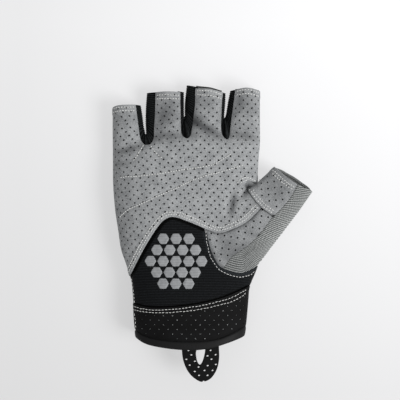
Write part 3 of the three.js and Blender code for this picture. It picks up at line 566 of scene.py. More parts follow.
def cut_panel(name, cloth, outline, step, layers, holes=(), radius=0.5, slots=()):
    """Cuts a panel out of flat cloth and lays it on its surface. The flat shape is filled with a
    lattice of points and triangulated around its outline, its punched holes and its slots. The
    layers function gives each point's two faces, in millimetres out of the surface, and the marks
    that its finish reads."""
    outline = np.asarray(outline)
    low, high = outline.min(0), outline.max(0)
    rims = [outline, *slots]
    edge_points = np.vstack(rims)
    fill = lattice(low, high, step)
    fill = fill[inside(fill, outline)]
    for slot in slots:
        fill = fill[~inside(fill, slot)]
    fill = fill[distance_to(fill, edge_points) > max(INSETS[-1] + LATTICE_CLEAR, 0.45 * min(step))]
    rows = []
    for rim in rims:
        ahead = np.roll(rim, -1, axis=0) - np.roll(rim, 1, axis=0)
        ahead /= np.maximum(np.linalg.norm(ahead, axis=1, keepdims=True), 1e-9)
        for inset in INSETS:
            row = rim + inset * np.stack([-ahead[:, 1], ahead[:, 0]], axis=1)
            rows.append(row[distance_to(row, edge_points) > 0.8 * inset])
    rings = np.empty((0, 2))
    holes = np.asarray(holes, float).reshape(-1, 2)
    if len(holes):
        fill = fill[distance_to(fill, holes) > radius + HOLE_CLEAR["lattice"]]
        angles = np.arange(HOLE_SIDES) * 2 * np.pi / HOLE_SIDES
        circle = radius * np.stack([np.cos(angles), np.sin(angles)], axis=1)
        rings = (holes[:, None] + circle[None]).reshape(-1, 2)
        rows = [row[distance_to(row, holes) > radius + HOLE_CLEAR["rows"]] for row in rows]
    points = np.vstack([*rims, rings, *rows, fill])
    loops, start = [], 0
    for rim in rims:
        loops.append(start + np.arange(len(rim)))
        start += len(rim)
    loops += [start + HOLE_SIDES * k + np.arange(HOLE_SIDES) for k in range(len(holes))]
    edges = np.vstack([np.stack([loop, np.roll(loop, -1)], axis=1) for loop in loops])
    scale = np.array([1 / step[0], 1 / step[1]])
    solved = delaunay_2d_cdt((points * scale).tolist(), edges.tolist(), [], 0, 1e-7)
    flat = np.array([tuple(v) for v in solved[0]]) / scale
    faces = np.array([face for face in solved[2] if len(face) == 3])
    centre = flat[faces].mean(1)
    keep = inside(centre, outline)
    for slot in slots:
        keep &= ~inside(centre, slot)
    if len(holes):
        keep &= distance_to(centre, holes) > radius * 0.96
    faces = faces[keep]
    used, faces = np.unique(faces, return_inverse=True)
    flat, faces = flat[used], faces.reshape(-1, 3)
    corner = flat[faces]
    first, second = corner[:, 1] - corner[:, 0], corner[:, 2] - corner[:, 0]
    turned = (first[:, 0] * second[:, 1] - first[:, 1] * second[:, 0]) * cloth.up < 0
    faces[turned] = faces[turned][:, ::-1]
    punched = distance_to(flat, holes) < radius * 1.05 if len(holes) else np.zeros(len(flat))
    return walled(name, cloth, flat, faces, distance_to(flat, edge_points), layers, punched)


def walled(name, cloth, flat, faces, to_edge, layers, punched):
    """Two faces over flat triangles, the outer one rounded off towards every edge as a quarter
    circle, joined by a wall along every free edge. A punched hole's rim is painted with shade. The
    inner face is painted dark as the shade inside the glove, save where a hem is turned in over it."""
    surface, normal = cloth.placed(flat[:, 0], flat[:, 1])
    outer, inner, marks = (*layers(flat, surface), {})[:3]
    rounded = 1 - np.clip(to_edge / ROUND, 0, 1)
    drop = ROUND * (1 - np.sqrt(1 - rounded ** 2))
    top = surface + normal * (outer - drop)[:, None]
    bottom = surface + normal * np.minimum(inner, outer - ROUND - LEAST_WALL)[:, None]
    count = len(flat)
    border = free_edges(faces, count)
    walls = np.stack([border[:, 0], border[:, 0] + count, border[:, 1] + count, border[:, 1]], axis=1)
    all_faces = faces.tolist() + (faces[:, ::-1] + count).tolist() + walls.tolist()
    # Painted shade: on the rims of punched holes, and dark over the inner face as the shade inside the
    # glove.
    marks["groove"] = np.maximum(marks.get("groove", 0 * outer), HOLE_RIM * punched)
    turned_in = marks.pop("hem", 0 * outer)
    shades = {"painted_inner_shade": np.r_[np.zeros(count), 1 - turned_in], "level": np.tile(outer, 2)}
    shades.update({label: np.tile(values, 2) for label, values in marks.items()})
    return new_object(name, np.vstack([top, bottom]), all_faces, np.tile(flat, (2, 1)), shades)


def grid_panel(name, points, outer, inner, uv, closed=False, painted_inner_shade=1.0, marks=None):
    """A wall over a grid of points, rows by columns. The normals come from the cross product of
    the differences along rows and columns; a closed grid joins its last column to its first."""
    rows, columns = points.shape[:2]
    padded = np.concatenate([points[:, -1:], points, points[:, :1]], axis=1) if closed else points
    along = np.gradient(points, axis=0)
    over = np.gradient(padded, axis=1)[:, 1:-1] if closed else np.gradient(points, axis=1)
    normal = np.cross(over, along)
    normal /= np.linalg.norm(normal, axis=-1, keepdims=True)
    top = points + normal * np.broadcast_to(outer, (rows, columns))[..., None]
    bottom = points + normal * np.broadcast_to(inner, (rows, columns))[..., None]
    index = np.arange(rows * columns).reshape(rows, columns)
    last = columns if closed else columns - 1
    right = np.roll(index, -1, axis=1)[:, :last]
    left = index[:, :last]
    quads = np.stack([left[:-1], right[:-1], right[1:], left[1:]], axis=-1).reshape(-1, 4)
    count = rows * columns
    walls = [np.stack([left[0], left[0] + count, right[0] + count, right[0]], axis=1)]
    walls.append(np.stack([right[-1], right[-1] + count, left[-1] + count, left[-1]], axis=1))
    if not closed:
        a, b = index[:-1, 0], index[1:, 0]
        walls.append(np.stack([b, b + count, a + count, a], axis=1))
        a, b = index[:-1, -1], index[1:, -1]
        walls.append(np.stack([a, a + count, b + count, b], axis=1))
    faces = np.vstack([quads, quads[:, ::-1] + count, *walls]).tolist()
    verts = np.vstack([top.reshape(-1, 3), bottom.reshape(-1, 3)])
    level = np.broadcast_to(outer, (rows, columns)).ravel()
    inside_shade = np.broadcast_to(painted_inner_shade, (rows, columns)).ravel()
    # The inner face is painted with shade by the given share.
    shades = {"painted_inner_shade": np.r_[np.zeros(count), inside_shade], "level": np.tile(level, 2)}
    shades.update({label: np.tile(values.ravel(), 2) for label, values in (marks or {}).items()})
    return new_object(name, verts, faces, np.tile(uv.reshape(-1, 2), (2, 1)), shades)


def offset(points, distance):
    """A row of points moved to its left."""
    ahead = np.gradient(points, axis=0)
    ahead /= np.linalg.norm(ahead, axis=1, keepdims=True)
    return points + distance * np.stack([-ahead[:, 1], ahead[:, 0]], axis=1)


def near(flat, path, width):
    """1 on a path, falling off as a bell to either side."""
    return np.exp(-(distance_to(flat, path) / width) ** 2)


def hand_side(column):
    """One side of the hand in plan, as a function of y."""
    return lambda p: read(HAND, "y", column, p)


def palm_right(p):
    """Right limit of the palm side: a little past the side seam where the thumb carries it."""
    carried = smoothstep(p, *PALM_OVER_THUMB["from"]) * (1 - smoothstep(p, *PALM_OVER_THUMB["to"]))
    return read(HAND, "y", "right", p) + PALM_OVER_THUMB["reach"] * carried


PALM_OVER_THUMB = {"reach": 4, "from": (-20, -10), "to": (27, 32.5)}
HAND_REACH = (-80, 102)  # mm along the hand that its cloths cover
THUMB_RUN = (-72, 4)  # mm along the thumb that its cloth covers
CUFF_CLEAR = 0.3  # the cuff's back lies at least this far over the ground
palm_cloth = Cloth(palm_height, (0, 0), (0, 1), HAND_REACH, hand_side("left"), palm_right)
back_cloth = Cloth(back_height, (0, 0), (0, 1), HAND_REACH, hand_side("left"), hand_side("right"), -1)
cuff_cloth = Cloth(lambda x, y: back_height(x, y, CUFF_CLEAR), (0, 0), (0, 1), HAND_REACH,
                   hand_side("left"), hand_side("right"), -1)
# Left limit of the thumb's cloth: far over the palm below the thumb's root, and the thumb's own
# left side where it stands free of the hand.
THUMB_LIMIT = table("s left", [[-22, -40], [-18, -27.5], [-16.7, -24], [-15.4, -18.8]])


def thumb_left(s):
    """Left limit of the thumb's cloth, at each place along the thumb."""
    over_palm = np.interp(s, THUMB_LIMIT["s"], THUMB_LIMIT["left"])
    return np.where(s > THUMB_LIMIT["s"][-1], read(THUMB, "s", "left", s), over_palm)


thumb_cloth = Cloth(palm_height, THUMB_TIP, THUMB_AXIS, THUMB_RUN, thumb_left,
                    lambda s: read(THUMB, "s", "right", s))

slot_curves = {name: spline(np.stack([rows["x"], rows["y"]], axis=1)) for name, rows in SLOTS.items()}
finger_ends = [spline(end) for end in FINGER_ENDS]


def hand_outline(ends, lower):
    """The hand's outline in plan: its lower boundary, then up the right side, round the four
    fingers from the index, and down the left side. A slot's two ends move to the finger ends."""
    pieces = list(lower)
    pieces.append(traced(side("right", 33.1, ends[3][-1][1]))[:-1])
    for i in (3, 2, 1, 0):
        pieces.append(traced(backwards(spline(ends[i])))[:-1])
        if i:
            slot = traced(backwards(list(slot_curves.values())[i - 1]))
            along = np.linspace(1, -1, len(slot))[:, None]
            first = smoothstep(along, 0.8, 1) * (np.array(ends[i][0]) - slot[0])
            last = smoothstep(-along, 0.8, 1) * (np.array(ends[i - 1][-1]) - slot[-1])
            pieces.append((slot + first + last)[:-1])
    pieces.append(traced(side("left", ends[0][0][1], lower[0][0][1]))[:-1])
    return np.vstack(pieces)


# Rows of pale stitches, in plan. The finger and thumb hems have two rows each.
HEM_ROWS = [
    [[-65.2, 82.3], [-61, 83.3], [-52, 83.3]], [[-65.4, 79.9], [-61, 80.9], [-51.8, 80.9]],
    [[-36.9, 91.3], [-29.5, 91.5], [-22.2, 91.3]], [[-36.9, 88.9], [-29.5, 89.1], [-22.2, 88.9]],
    [[-10.3, 94.5], [-1.7, 93.9], [5.9, 91.7]], [[-10.2, 91.7], [-1.7, 91.0], [5.7, 88.9]],
    [[16.1, 93.9], [23, 94.8], [30.4, 93.1]], [[16, 91.4], [23, 92.3], [30.4, 90.6]],
]
THUMB_HEM = [[39.6, 41.5], [41.3, 40.2], [45.2, 36.6], [49.2, 33.2], [53.6, 30.2]]
THUMB_HEM_2 = [[39.4, 39.4], [43.8, 35.2], [47.8, 31.9], [52.4, 28.9]]
THUMB_RIM_ROW = [[15.8, 33.0], [18.5, 35.6], [21.8, 36.7], [25.4, 35.9], [28.2, 34.6]]
THUMB_RIM_ROW_2 = [[17.9, 32.6], [20.2, 34.4], [22.8, 35.1]]
SIDE_ROW = [[-53.4, -29.5], [-52.2, -38], [-51.4, -46.4]]
BAND_SIDE_ROW = [[-51.0, -52.5], [-50.3, -58], [-49.9, -62.8]]
QUILTING = [
    [[-45.2, 58.2], [-50.8, 49.3], [-52.5, 48.3]],
    [[-40.9, 57.9], [-37.3, 53.0], [-33, 49.3]],
    [[-61, 36.8], [-49.2, 37.5], [-34.6, 39.2], [-21.5, 41.4], [-8.2, 43.4], [1.6, 45.7], [12.2, 52.3]],
    [[-61, 10.4], [-55.8, 15.3], [-49.8, 18.0], [-40.3, 22.3], [-30, 27.0], [-22.3, 30.3],
     [-13.5, 34.7], [-4.3, 37.8], [3.4, 39.9], [15.5, 43.4], [20.1, 44.7]],
]

palm_edge = traced(spline(PALM_EDGE))
fold_edge = traced(backwards(spline(THUMB_FOLD)))
palm_outline = hand_outline(FINGER_ENDS, [
    palm_edge[:-1], traced(spline(THUMB_FOLD))[:-1], traced(spline(THUMB_RIM))[:-1],
])


def flat_paths(cloth, rows):
    """Curves in plan as paths in a cloth's own coordinates."""
    return [cloth.flat(traced(spline(r))) for r in rows]


palm_quilting = flat_paths(palm_cloth, QUILTING)
palm_hems = flat_paths(palm_cloth, HEM_ROWS + [THUMB_RIM_ROW, THUMB_RIM_ROW_2])
side_rows = flat_paths(palm_cloth, [SIDE_ROW, BAND_SIDE_ROW])
palm_edge_flat = palm_cloth.flat(palm_edge)
EDGE_ROWS = (1.8, 3.5)  # mm from the palm's folded edge to its two rows of stitches
palm_edge_rows = [offset(palm_edge_flat, d)[3:-3] for d in EDGE_ROWS]
fold_flat = palm_cloth.flat(fold_edge)
finger_end_flat = palm_cloth.flat(np.vstack([traced(end) for end in finger_ends + [spline(THUMB_RIM)]]))


# Leather, in mm: how far its faces stand out of the surface, how much higher its folded edges lie
# and over which distances from them that ends, how deep and wide each kind of stitching sinks and
# how far round it the leather is paler, and the painted shadow along the thumb's fold.
PALM_WALL = {"top": 0.35, "bottom": -0.45}
EDGE_FOLD = {"rise": 0.4, "ends": (4.2, 5.0)}
HEM_FOLD = {"rise": 0.25, "ends": (4.6, 5.4)}
SEWN_DIP = {"deep": 0.22, "wide": 0.55, "pale": 1.0}
QUILT_DIP = {"deep": 0.55, "wide": 1.3, "pale": 0.8, "share": 0.5}
FOLD_SHADOW = {"share": 0.8, "wide": 0.7}


def palm_layers(flat, surface):
    """Palm leather: folded double along its lower edge and its finger ends, drawn in along every
    row of stitches."""
    folded = 1 - smoothstep(distance_to(flat, palm_edge_flat), *EDGE_FOLD["ends"])
    hemmed = 1 - smoothstep(distance_to(flat, finger_end_flat), *HEM_FOLD["ends"])
    top = PALM_WALL["top"] + EDGE_FOLD["rise"] * folded + HEM_FOLD["rise"] * hemmed
    for path in palm_quilting:
        top -= QUILT_DIP["deep"] * near(flat, path, QUILT_DIP["wide"])
    sewn = 0 * top
    for path in palm_hems + palm_edge_rows:
        top -= SEWN_DIP["deep"] * near(flat, path, SEWN_DIP["wide"])
        sewn = np.maximum(sewn, near(flat, path, SEWN_DIP["pale"]))
    for path in palm_quilting:
        sewn = np.maximum(sewn, QUILT_DIP["share"] * near(flat, path, QUILT_DIP["pale"]))
    # Painted shadow along the thumb's fold.
    groove = FOLD_SHADOW["share"] * near(flat, fold_flat, FOLD_SHADOW["wide"])
    return top, np.full_like(top, PALM_WALL["bottom"]), suede_marks(surface, sewn, groove)


def suede_marks(surface, sewn, groove):
    """What a suede panel's finish reads: where it is sewn, and the shade painted in its creases,
    hollows, seams and pits.
    """
    x, y = surface[:, 0], surface[:, 1]
    return {"sewn": sewn, "brushed": bells(PAINTED_SHADE_BELLS, x, y), "groove": np.maximum(groove, bells(PITS, x, y))}


HOLE_RADIUS = 0.6
HOLE_STEP = (5.5, 2.66)  # mm along a row of the palm's holes, and from row to row
HOLE_START = np.array([[-22.4, 36.2]])  # one of its holes, in plan
HOLE_LEAN = {"slope": 0.11, "up_to": 55}  # the columns of holes lean to the left up to this height
# The palm's rows of holes rise towards the fingers as they cross to the right.
HOLE_RISE = table("q rise", [
    [-75, -5.6], [-60, -3.9], [-45, -2.3], [-30, -0.7], [-15, 0.5], [0, 1.1], [15, 1.2], [45, 1.2],
])
HOLE_MARGIN = 15  # mm past the outline that the lattice starts with, as the rows move
# The thumb panels' leather is cut with its square lattice of holes turned, in degrees.
THUMB_HOLE_STEP = (4.4, 4.15)
TIP_HOLES = ((36.2, 33.5), 39)
BASE_HOLES = ((16.4, -2.9), 23.5)
LEATHER_STEP = (1.5, 1.4)  # mm between the points that carry a leather's creases


def holes_in(outline, found, clear=1.9):
    """Those punched holes that lie inside an outline and clear of its edge."""
    found = found[inside(found, outline)]
    return found[distance_to(found, outline) > clear]


def thumb_holes(outline, start, turn):
    """Holes of a thumb panel: a turned lattice with one hole at a place in plan."""
    middle = thumb_cloth.flat(np.array([start]))[0]
    found = lattice(outline.min(0), outline.max(0), THUMB_HOLE_STEP, turn, False, middle)
    return holes_in(outline, found)


def build_palm():
    """Palm leather: the lattice of its holes leans and its rows rise before it is cut."""
    outline = palm_cloth.flat(palm_outline)
    start = palm_cloth.flat(HOLE_START)[0]
    low, high = outline.min(0) - HOLE_MARGIN, outline.max(0) + HOLE_MARGIN
    holes = lattice(low, high, HOLE_STEP, middle=start)
    holes[:, 0] -= HOLE_LEAN["slope"] * (np.minimum(holes[:, 1], HOLE_LEAN["up_to"]) - start[1])
    holes[:, 1] += read(HOLE_RISE, "q", "rise", holes[:, 0])
    holes = holes_in(outline, holes)
    return cut_panel("palm_leather", palm_cloth, outline, LEATHER_STEP, palm_layers, holes, HOLE_RADIUS)


strip_edge = np.vstack([
    traced(backwards(spline(THUMB_FOLD))), traced(backwards(spline(THUMB_FOLD_OUTER)))[1:],
])
strip_flat = thumb_cloth.flat(strip_edge)
heel_seam = traced(spline(HEEL_SEAM))
seam_lower = traced(spline(KNIT_SEAM_LOWER))
HEEL_SHARE = 0.6  # share of the palm's edge that borders the heel; the rest borders the thumb
palm_part = traced(part(spline(PALM_EDGE), HEEL_SHARE, 1))
base_palm_edge = thumb_cloth.flat(palm_part)
base_heel_edge = thumb_cloth.flat(heel_seam)
# The base leather runs on under the tip's strip as far as this line.
BASE_UNDER_STRIP = [
    [39.6, 11.6], [41.4, 13.2], [37.6, 16.9], [33.6, 20.0], [30.5, 22.8], [26.5, 22.5],
]
BASE_UNDER = {"palm": 3.2, "heel": 2.0}  # mm that it runs on under the palm and the heel
base_outline = np.vstack([
    seam_lower[:-1], np.array(BASE_UNDER_STRIP),
    offset(palm_part, BASE_UNDER["palm"])[::-1][8:-1], offset(heel_seam, -BASE_UNDER["heel"])[2:-1],
])
BASE_WALL = {"top": -0.1, "thick": 0.6}
BASE_TUCK = 0.9  # mm down under the palm; half as much under the heel's rim
BASE_UNDER_STRIP_DIP = 0.5
# Painted shade, spread evenly over the thumb's two leathers.
THUMB_SHADE = 0.06  # share of a groove's dark all over the thumb's two leathers


def base_layers(flat, surface):
    """Thumb base leather, tucked down under the palm's folded edge and under the heel's rim, and
    painted with shadow where it goes in under a neighbour, with a little painted shade all over."""
    under = np.minimum(distance_to(flat, base_palm_edge), 9)
    covered = inside(surface[:, :2], palm_outline)
    tuck = np.where(covered, 1, 1 - smoothstep(under, 0, 1.8))
    rim = 1 - smoothstep(distance_to(flat, base_heel_edge), 0.0, 0.7)
    strip = near(flat, strip_flat, 1.0)
    pits = bells(PITS, surface[:, 0], surface[:, 1])
    top = BASE_WALL["top"] - BASE_TUCK * np.maximum(tuck, 0.5 * rim) - BASE_UNDER_STRIP_DIP * strip - pits
    # Painted shadow along the palm's edge, the strip's edge and the heel's rim, and painted shade all
    # over.
    groove = np.maximum(0.85 * near(flat, base_palm_edge, 0.9), 0.85 * near(flat, strip_flat, 0.8))
    groove = np.maximum(groove, 0.6 * near(flat, base_heel_edge, 1.6))
    groove = np.maximum(groove, THUMB_SHADE)
    return top, top - BASE_WALL["thick"], suede_marks(surface, 0 * top, groove)


def build_base():
    """Thumb base leather with its turned lattice of holes."""
    outline = thumb_cloth.flat(base_outline)
    holes = thumb_holes(outline, *BASE_HOLES)
    holes = holes[distance_to(holes, base_palm_edge) > 1.2]
    return cut_panel("thumb_base_leather", thumb_cloth, outline, LEATHER_STEP, base_layers, holes,
                     HOLE_RADIUS)


tip_outline = np.vstack([
    offset(strip_edge, -0.15)[:-1], traced(spline(KNIT_SEAM_UPPER))[:-1],
    traced(backwards(spline(THUMB_MOUTH)))[:-1], traced(backwards(spline(THUMB_SIDE)))[:-1],
    traced(backwards(spline(THUMB_RIM)))[:-1],
])
tip_mouth_flat = thumb_cloth.flat(traced(spline(THUMB_MOUTH)))
tip_seam_flat = thumb_cloth.flat(traced(spline(KNIT_SEAM_UPPER)))
# The strip's upper corner, and the way across the line where its fold turns under the palm.
STRIP_CORNER = np.array([23.2, 28.8])
STRIP_ACROSS = np.array([-0.552, 0.834])
STRIP_UNDER_PALM = (28.0, 31.0)  # mm in X over which the strip's turned end runs out
STRIP_WIDTH = (3.4, 5.0)  # mm from the strip's edge over which its double thickness ends
STRIP_ROWS = ((1.1, 9), (2.8, 12))  # mm inside the edge, and the points left out at the corner
strip_rows = [offset(strip_flat, d)[first:-3] for d, first in STRIP_ROWS]
thumb_hems = flat_paths(thumb_cloth, [THUMB_HEM, THUMB_HEM_2])
TIP_WALL = {"top": 0.2, "bottom": -0.6}
STRIP_RISE = {"top": 1.1, "bottom": 0.95}
STRIP_SINK = 1.3


def tip_layers(flat, surface):
    """Thumb tip leather: its folded strip lies over the palm leather, and its mouth has a hem. The
    strip's turned end sinks under the palm, and its underside comes down to meet the knit."""
    lift = 1 - smoothstep(distance_to(flat, strip_flat), *STRIP_WIDTH)
    past = (surface[:, :2] - STRIP_CORNER) @ STRIP_ACROSS
    sunk = smoothstep(past, -0.6, 0.8) * (1 - smoothstep(surface[:, 0], *STRIP_UNDER_PALM))
    lift = lift * (1 - sunk)
    hemmed = 1 - smoothstep(distance_to(flat, tip_mouth_flat), *HEM_FOLD["ends"])
    top = TIP_WALL["top"] + STRIP_RISE["top"] * lift + HEM_FOLD["rise"] * hemmed - STRIP_SINK * sunk
    sewn = 0 * top
    for path in strip_rows + thumb_hems:
        top -= SEWN_DIP["deep"] * near(flat, path, SEWN_DIP["wide"])
        sewn = np.maximum(sewn, near(flat, path, SEWN_DIP["pale"]))
    raised = lift * smoothstep(distance_to(flat, tip_seam_flat), 0.6, 1.8)
    bottom = TIP_WALL["bottom"] + STRIP_RISE["bottom"] * raised - STRIP_SINK * sunk
    # A little painted shade all over, as on the base leather.
    return top, bottom, suede_marks(surface, sewn, THUMB_SHADE + 0 * top)


def build_tip():
    """Thumb tip leather; its holes keep clear of the folded strip."""
    outline = thumb_cloth.flat(tip_outline)
    holes = thumb_holes(outline, *TIP_HOLES)
    holes = holes[distance_to(holes, strip_flat) > 4.6]
    return cut_panel("thumb_tip_leather", thumb_cloth, outline, LEATHER_STEP, tip_layers, holes,
                     HOLE_RADIUS)


RIB = 1.45  # mm from one rib of the knit to the next
RIB_HEIGHT = 0.2  # mm that the ribs' middle line lies above their hollows
STITCH = 1.3  # mm from one stitch to the next along a rib
# Slope of the thumb knit's ribs towards the right, at each y in plan.
RIB_SLOPE = table("y slope", [
    [-40, 0.5], [-20, 0.46], [-8, 0.4], [0, 0.32], [8, 0.22], [16, 0.08], [24, -0.12], [36, -0.3],
])
# At the thumb's foot the ribs sag along the heel's rim and climb up the outer side.
RIB_SAG = table("x rise", [
    [0, -3.6], [7, -5], [13, -7.0], [18, -8.1], [20.5, -7.8], [23, -5.4], [26, -2.2], [29, 0.0],
    [33, 2.0], [39, 4.0], [60, 10],
])
# Close to its seam the lower part of the knit bends its ribs up by this much, over this run.
RIB_BEND = 2.4
RIB_BEND_RUN = 5
MOUTH_RUN = 70  # mm from the thumb's foot to its mouth
RIB_MIDDLE = 46  # x in plan that the straight ribs turn about
RIB_FOOT = (-17, -4)  # heights in plan between which the sagging ribs give way to the straight ones
RIB_BEND_ENDS = ((-16, -6), (4, 24))  # heights in plan over which the bend at the seam starts and ends
KNIT_ROWS = 250  # rows of the thumb knit's grid, and the steps over the palm side and under the hand
KNIT_STEPS = (96, 66)
# The thumb knit's wall in mm: its faces, how far it is drawn in at its seam, the share of the
# creases that it takes, and how it thins at its seam with the back.
KNIT_WALL = {"top": -0.05, "bottom": -1.1, "least": 0.2}
KNIT_SEAM_DIP = 0.35
KNIT_CREASES = 0.6
KNIT_BACK_EDGE = {"ends": (0.5, 2.0), "level": 0.9, "inner": 0.8}
# Inside the mouth the knit is folded in: mm from the mouth to a row of painted shadow, that row's
# width, and where the painted shade of the glove's inside takes over.
KNIT_FOLD = {"row": 1.7, "wide": 0.4, "ends": (2.6, 3.4)}


def rib_phase(x, y):
    """Number of ribs passed at a place in plan. The ribs are the levels of y less a straight
    slope up the thumb, and of y less the sag at its foot, blended between the two."""
    straight = read(RIB_SLOPE, "y", "slope", y) * (x - RIB_MIDDLE)
    sag = read(RIB_SAG, "x", "rise", x)
    return (y - lerp(sag, straight, smoothstep(y, *RIB_FOOT))) / RIB


def ribbed(phase, stitches_along, notched):
    """Height of a ribbed knit: a rounded rib at every whole phase, notched into stitches along it,
    every other rib by half a stitch."""
    rib = np.cos(2 * np.pi * phase)
    notch = np.cos(2 * np.pi * (stitches_along + 0.5 * np.floor(phase + 0.5)))
    return RIB_HEIGHT * (rib + notched * notch * (1 + rib) / 2 - 1.1 - notched)


def close_to_end(count):
    """Steps from 0 to 1 that close up towards an upright side as a circle's do."""
    quarter = 0.97 * np.pi / 2
    return np.sin(np.linspace(0, 1, count) * quarter) / math.sin(quarter)


def close_to_both(count):
    """Steps from 0 to 1 that close up towards an upright side at either end."""
    return (1 - np.cos(np.linspace(0, np.pi, count))) / 2


def thumb_side_curve(column, start, end):
    """One side of the thumb in plan, from one place along its axis to another."""
    def at(t):
        s = lerp(start, end, np.asarray(t, float))[..., None]
        d = read(THUMB, "s", column, s[..., 0])[..., None]
        return THUMB_TIP + s * THUMB_AXIS + d * THUMB_ACROSS

    return at


def build_thumb_knit():
    """Knitted side of the thumb: one grid whose rows run from its seam on the palm side, round the
    outer side, to its seam on the back."""
    rows = np.linspace(0, 1, KNIT_ROWS)
    count, count_below = KNIT_STEPS
    seam = chain([spline(KNIT_SEAM_LOWER), spline([*KNIT_SEAM_UPPER[:-1], THUMB_MOUTH[-1]])], [0.6])
    inner = chain([spline(BACK_SEAM), thumb_side_curve("left", -15.4, -0.35)], [0.72])
    outer = thumb_side_curve("right", -61.2, -0.6)
    outer_low = outer(0.0)
    foot = spline([[6.9, -22.8], [13, -24.9], [21, -25.6], [*outer_low]])
    mouth = spline([*KNIT_MOUTH[:-1], [*outer(1.0)]])
    above = coons(foot, mouth, seam, outer)(close_to_end(count), rows)
    corner = spline([[20, -25.2], [25, -24], [*outer_low]])
    back_mouth = spline([[*inner(1.0)], *BACK_MOUTH[1:-1], [*outer(1.0)]])
    below = coons(corner, back_mouth, inner, outer)(close_to_both(count_below), rows)[:, ::-1]
    top = np.concatenate([above, palm_height(above[..., 0], above[..., 1])[..., None]], axis=-1)
    bottom = np.concatenate([below, back_height(below[..., 0], below[..., 1])[..., None]], axis=-1)
    bottom[:, 0, 2] = top[:, -1, 2]
    grid = np.concatenate([top, bottom[:, 1:]], axis=1)
    walked = np.cumsum(np.linalg.norm(np.diff(grid, axis=1, prepend=grid[:, :1]), axis=2), axis=1)
    plan = grid[..., :2].copy()
    under = plan[:, count:] - plan[:, count - 1:count]
    plan[:, count:] -= 2 * (under @ THUMB_ACROSS)[..., None] * THUMB_ACROSS
    bend_starts, bend_ends = RIB_BEND_ENDS
    bend = RIB_BEND * (1 - np.exp(-walked / RIB_BEND_RUN)) * (1 - smoothstep(plan[..., 1], *bend_ends))
    bend = bend * smoothstep(plan[..., 1], *bend_starts)
    phase = rib_phase(plan[..., 0], plan[..., 1]) - bend / RIB
    notched = 0.4 - 0.2 * smoothstep(walked, 3, 14)
    height = ribbed(phase, walked / STITCH, notched)
    pits = bells(PITS, grid[..., 0], grid[..., 1])
    pits[:, count:] = 0
    back_edge = 1 - smoothstep(walked[:, -1:] - walked, *KNIT_BACK_EDGE["ends"])
    drawn_in = KNIT_SEAM_DIP * (1 - smoothstep(walked, 0, 1.0))
    outer_level = KNIT_WALL["top"] + height - drawn_in - KNIT_CREASES * pits
    outer_level = outer_level * (1 - KNIT_BACK_EDGE["level"] * back_edge)
    inner_level = np.minimum(KNIT_WALL["bottom"] + KNIT_BACK_EDGE["inner"] * back_edge,
                             outer_level - KNIT_WALL["least"])
    uv = np.stack([walked, phase * RIB], axis=-1)
    # Painted shade on the inner face: a little everywhere, a row of shadow inside the mouth, and full
    # beyond.
    depth = (1 - rows[:, None]) * MOUTH_RUN + 0 * walked
    row = np.exp(-((depth - KNIT_FOLD["row"]) / KNIT_FOLD["wide"]) ** 2)
    painted_inner_shade = 0.25 + 0.6 * row + 0.75 * smoothstep(depth, *KNIT_FOLD["ends"])
    # Painted shade at the thumb's foot and along its seam.
    foot_shade = 0.22 * (1 - smoothstep(grid[..., 1], -24, -6))
    groove = np.maximum(foot_shade + 0.25 * (1 - smoothstep(walked, 0.1, 0.7)), pits)
    return grid_panel("thumb_side_knit", grid, outer_level, inner_level, uv, painted_inner_shade=np.minimum(1, painted_inner_shade),
                      marks={"notched": notched, "groove": groove})


back_end_flat = back_cloth.flat(np.vstack([traced(spline(end)) for end in BACK_ENDS]))
back_outline = hand_outline(BACK_ENDS, [traced(spline(BACK_WAIST))[:-1], traced(spline(BACK_SEAM))[:-1]])
BACK_NOTCHED = 0.35  # share of the full notches between the back knit's stitches
BACK_BOTTOM = -1.1
BACK_HEM = ((0.5, 0.8), (2.4, 2.8))  # mm from a finger's end over which its hem starts and ends
BACK_STEP = (2.2, 0.375)  # mm between the points along the ribs and across them


def back_layers(flat, surface):
    """Ribbed knit of the back, its ribs running across the hand."""
    top = ribbed(flat[:, 1] / RIB, flat[:, 0] / STITCH, BACK_NOTCHED)
    to_end = distance_to(flat, back_end_flat)
    hem_starts, hem_ends = BACK_HEM
    # The inner face is painted with shade save on the turned hem, which leaves a painted dark line at the
    # very end.
    hem = smoothstep(to_end, *hem_starts) * (1 - smoothstep(to_end, *hem_ends))
    marks = {"notched": np.full_like(top, BACK_NOTCHED), "hem": hem}
    return top, np.full_like(top, BACK_BOTTOM), marks


def build_back():
    """Knit back of the hand and of the four finger stalls, in one piece."""
    return cut_panel("back_knit", back_cloth, back_cloth.flat(back_outline), BACK_STEP, back_layers)


HEEL_RIB = 1.06  # mm from one rib of the elastic to the next
HEEL_RIB_DEPTH = 0.11
HEEL_UNDER = {"band": 5, "palm": 3.0}  # mm that the elastic runs on under its neighbours
HEEL_TUCK = 0.65  # mm that it dips under them
HEEL_RIM = 0.3  # mm that its rim stands up over the thumb panels
HEEL_THICK = 1.2
HEEL_STEP = (1.9, 0.265)  # mm between the points along the ribs and across them
band_edge = traced(spline(BAND_EDGE))
heel_rim = np.vstack([heel_seam, traced(spline(KNIT_FOOT))[1:]])


def heel_boundary():
    """Heel elastic: from 5 mm under the band's edge to 3 mm under the palm's, its rim on the
    thumb panels where the two meet."""
    low = band_edge - [0, HEEL_UNDER["band"]]
    low[:, 0] = np.clip(low[:, 0], read(HAND, "y", "left", low[:, 1]), read(HAND, "y", "right", low[:, 1]))
    up = offset(traced(part(spline(PALM_EDGE), 0, HEEL_SHARE)), HEEL_UNDER["palm"])
    up[:, 0] = np.maximum(up[:, 0], read(HAND, "y", "left", up[:, 1]))
    up = up[:-6]
    right = traced(side("right", low[-1, 1], -21.7))
    left = traced(side("left", up[0, 1], low[0, 1]))
    return np.vstack([low[:-1], right[:-1], heel_rim[::-1][:-1], up[::-1], left[1:-1]])


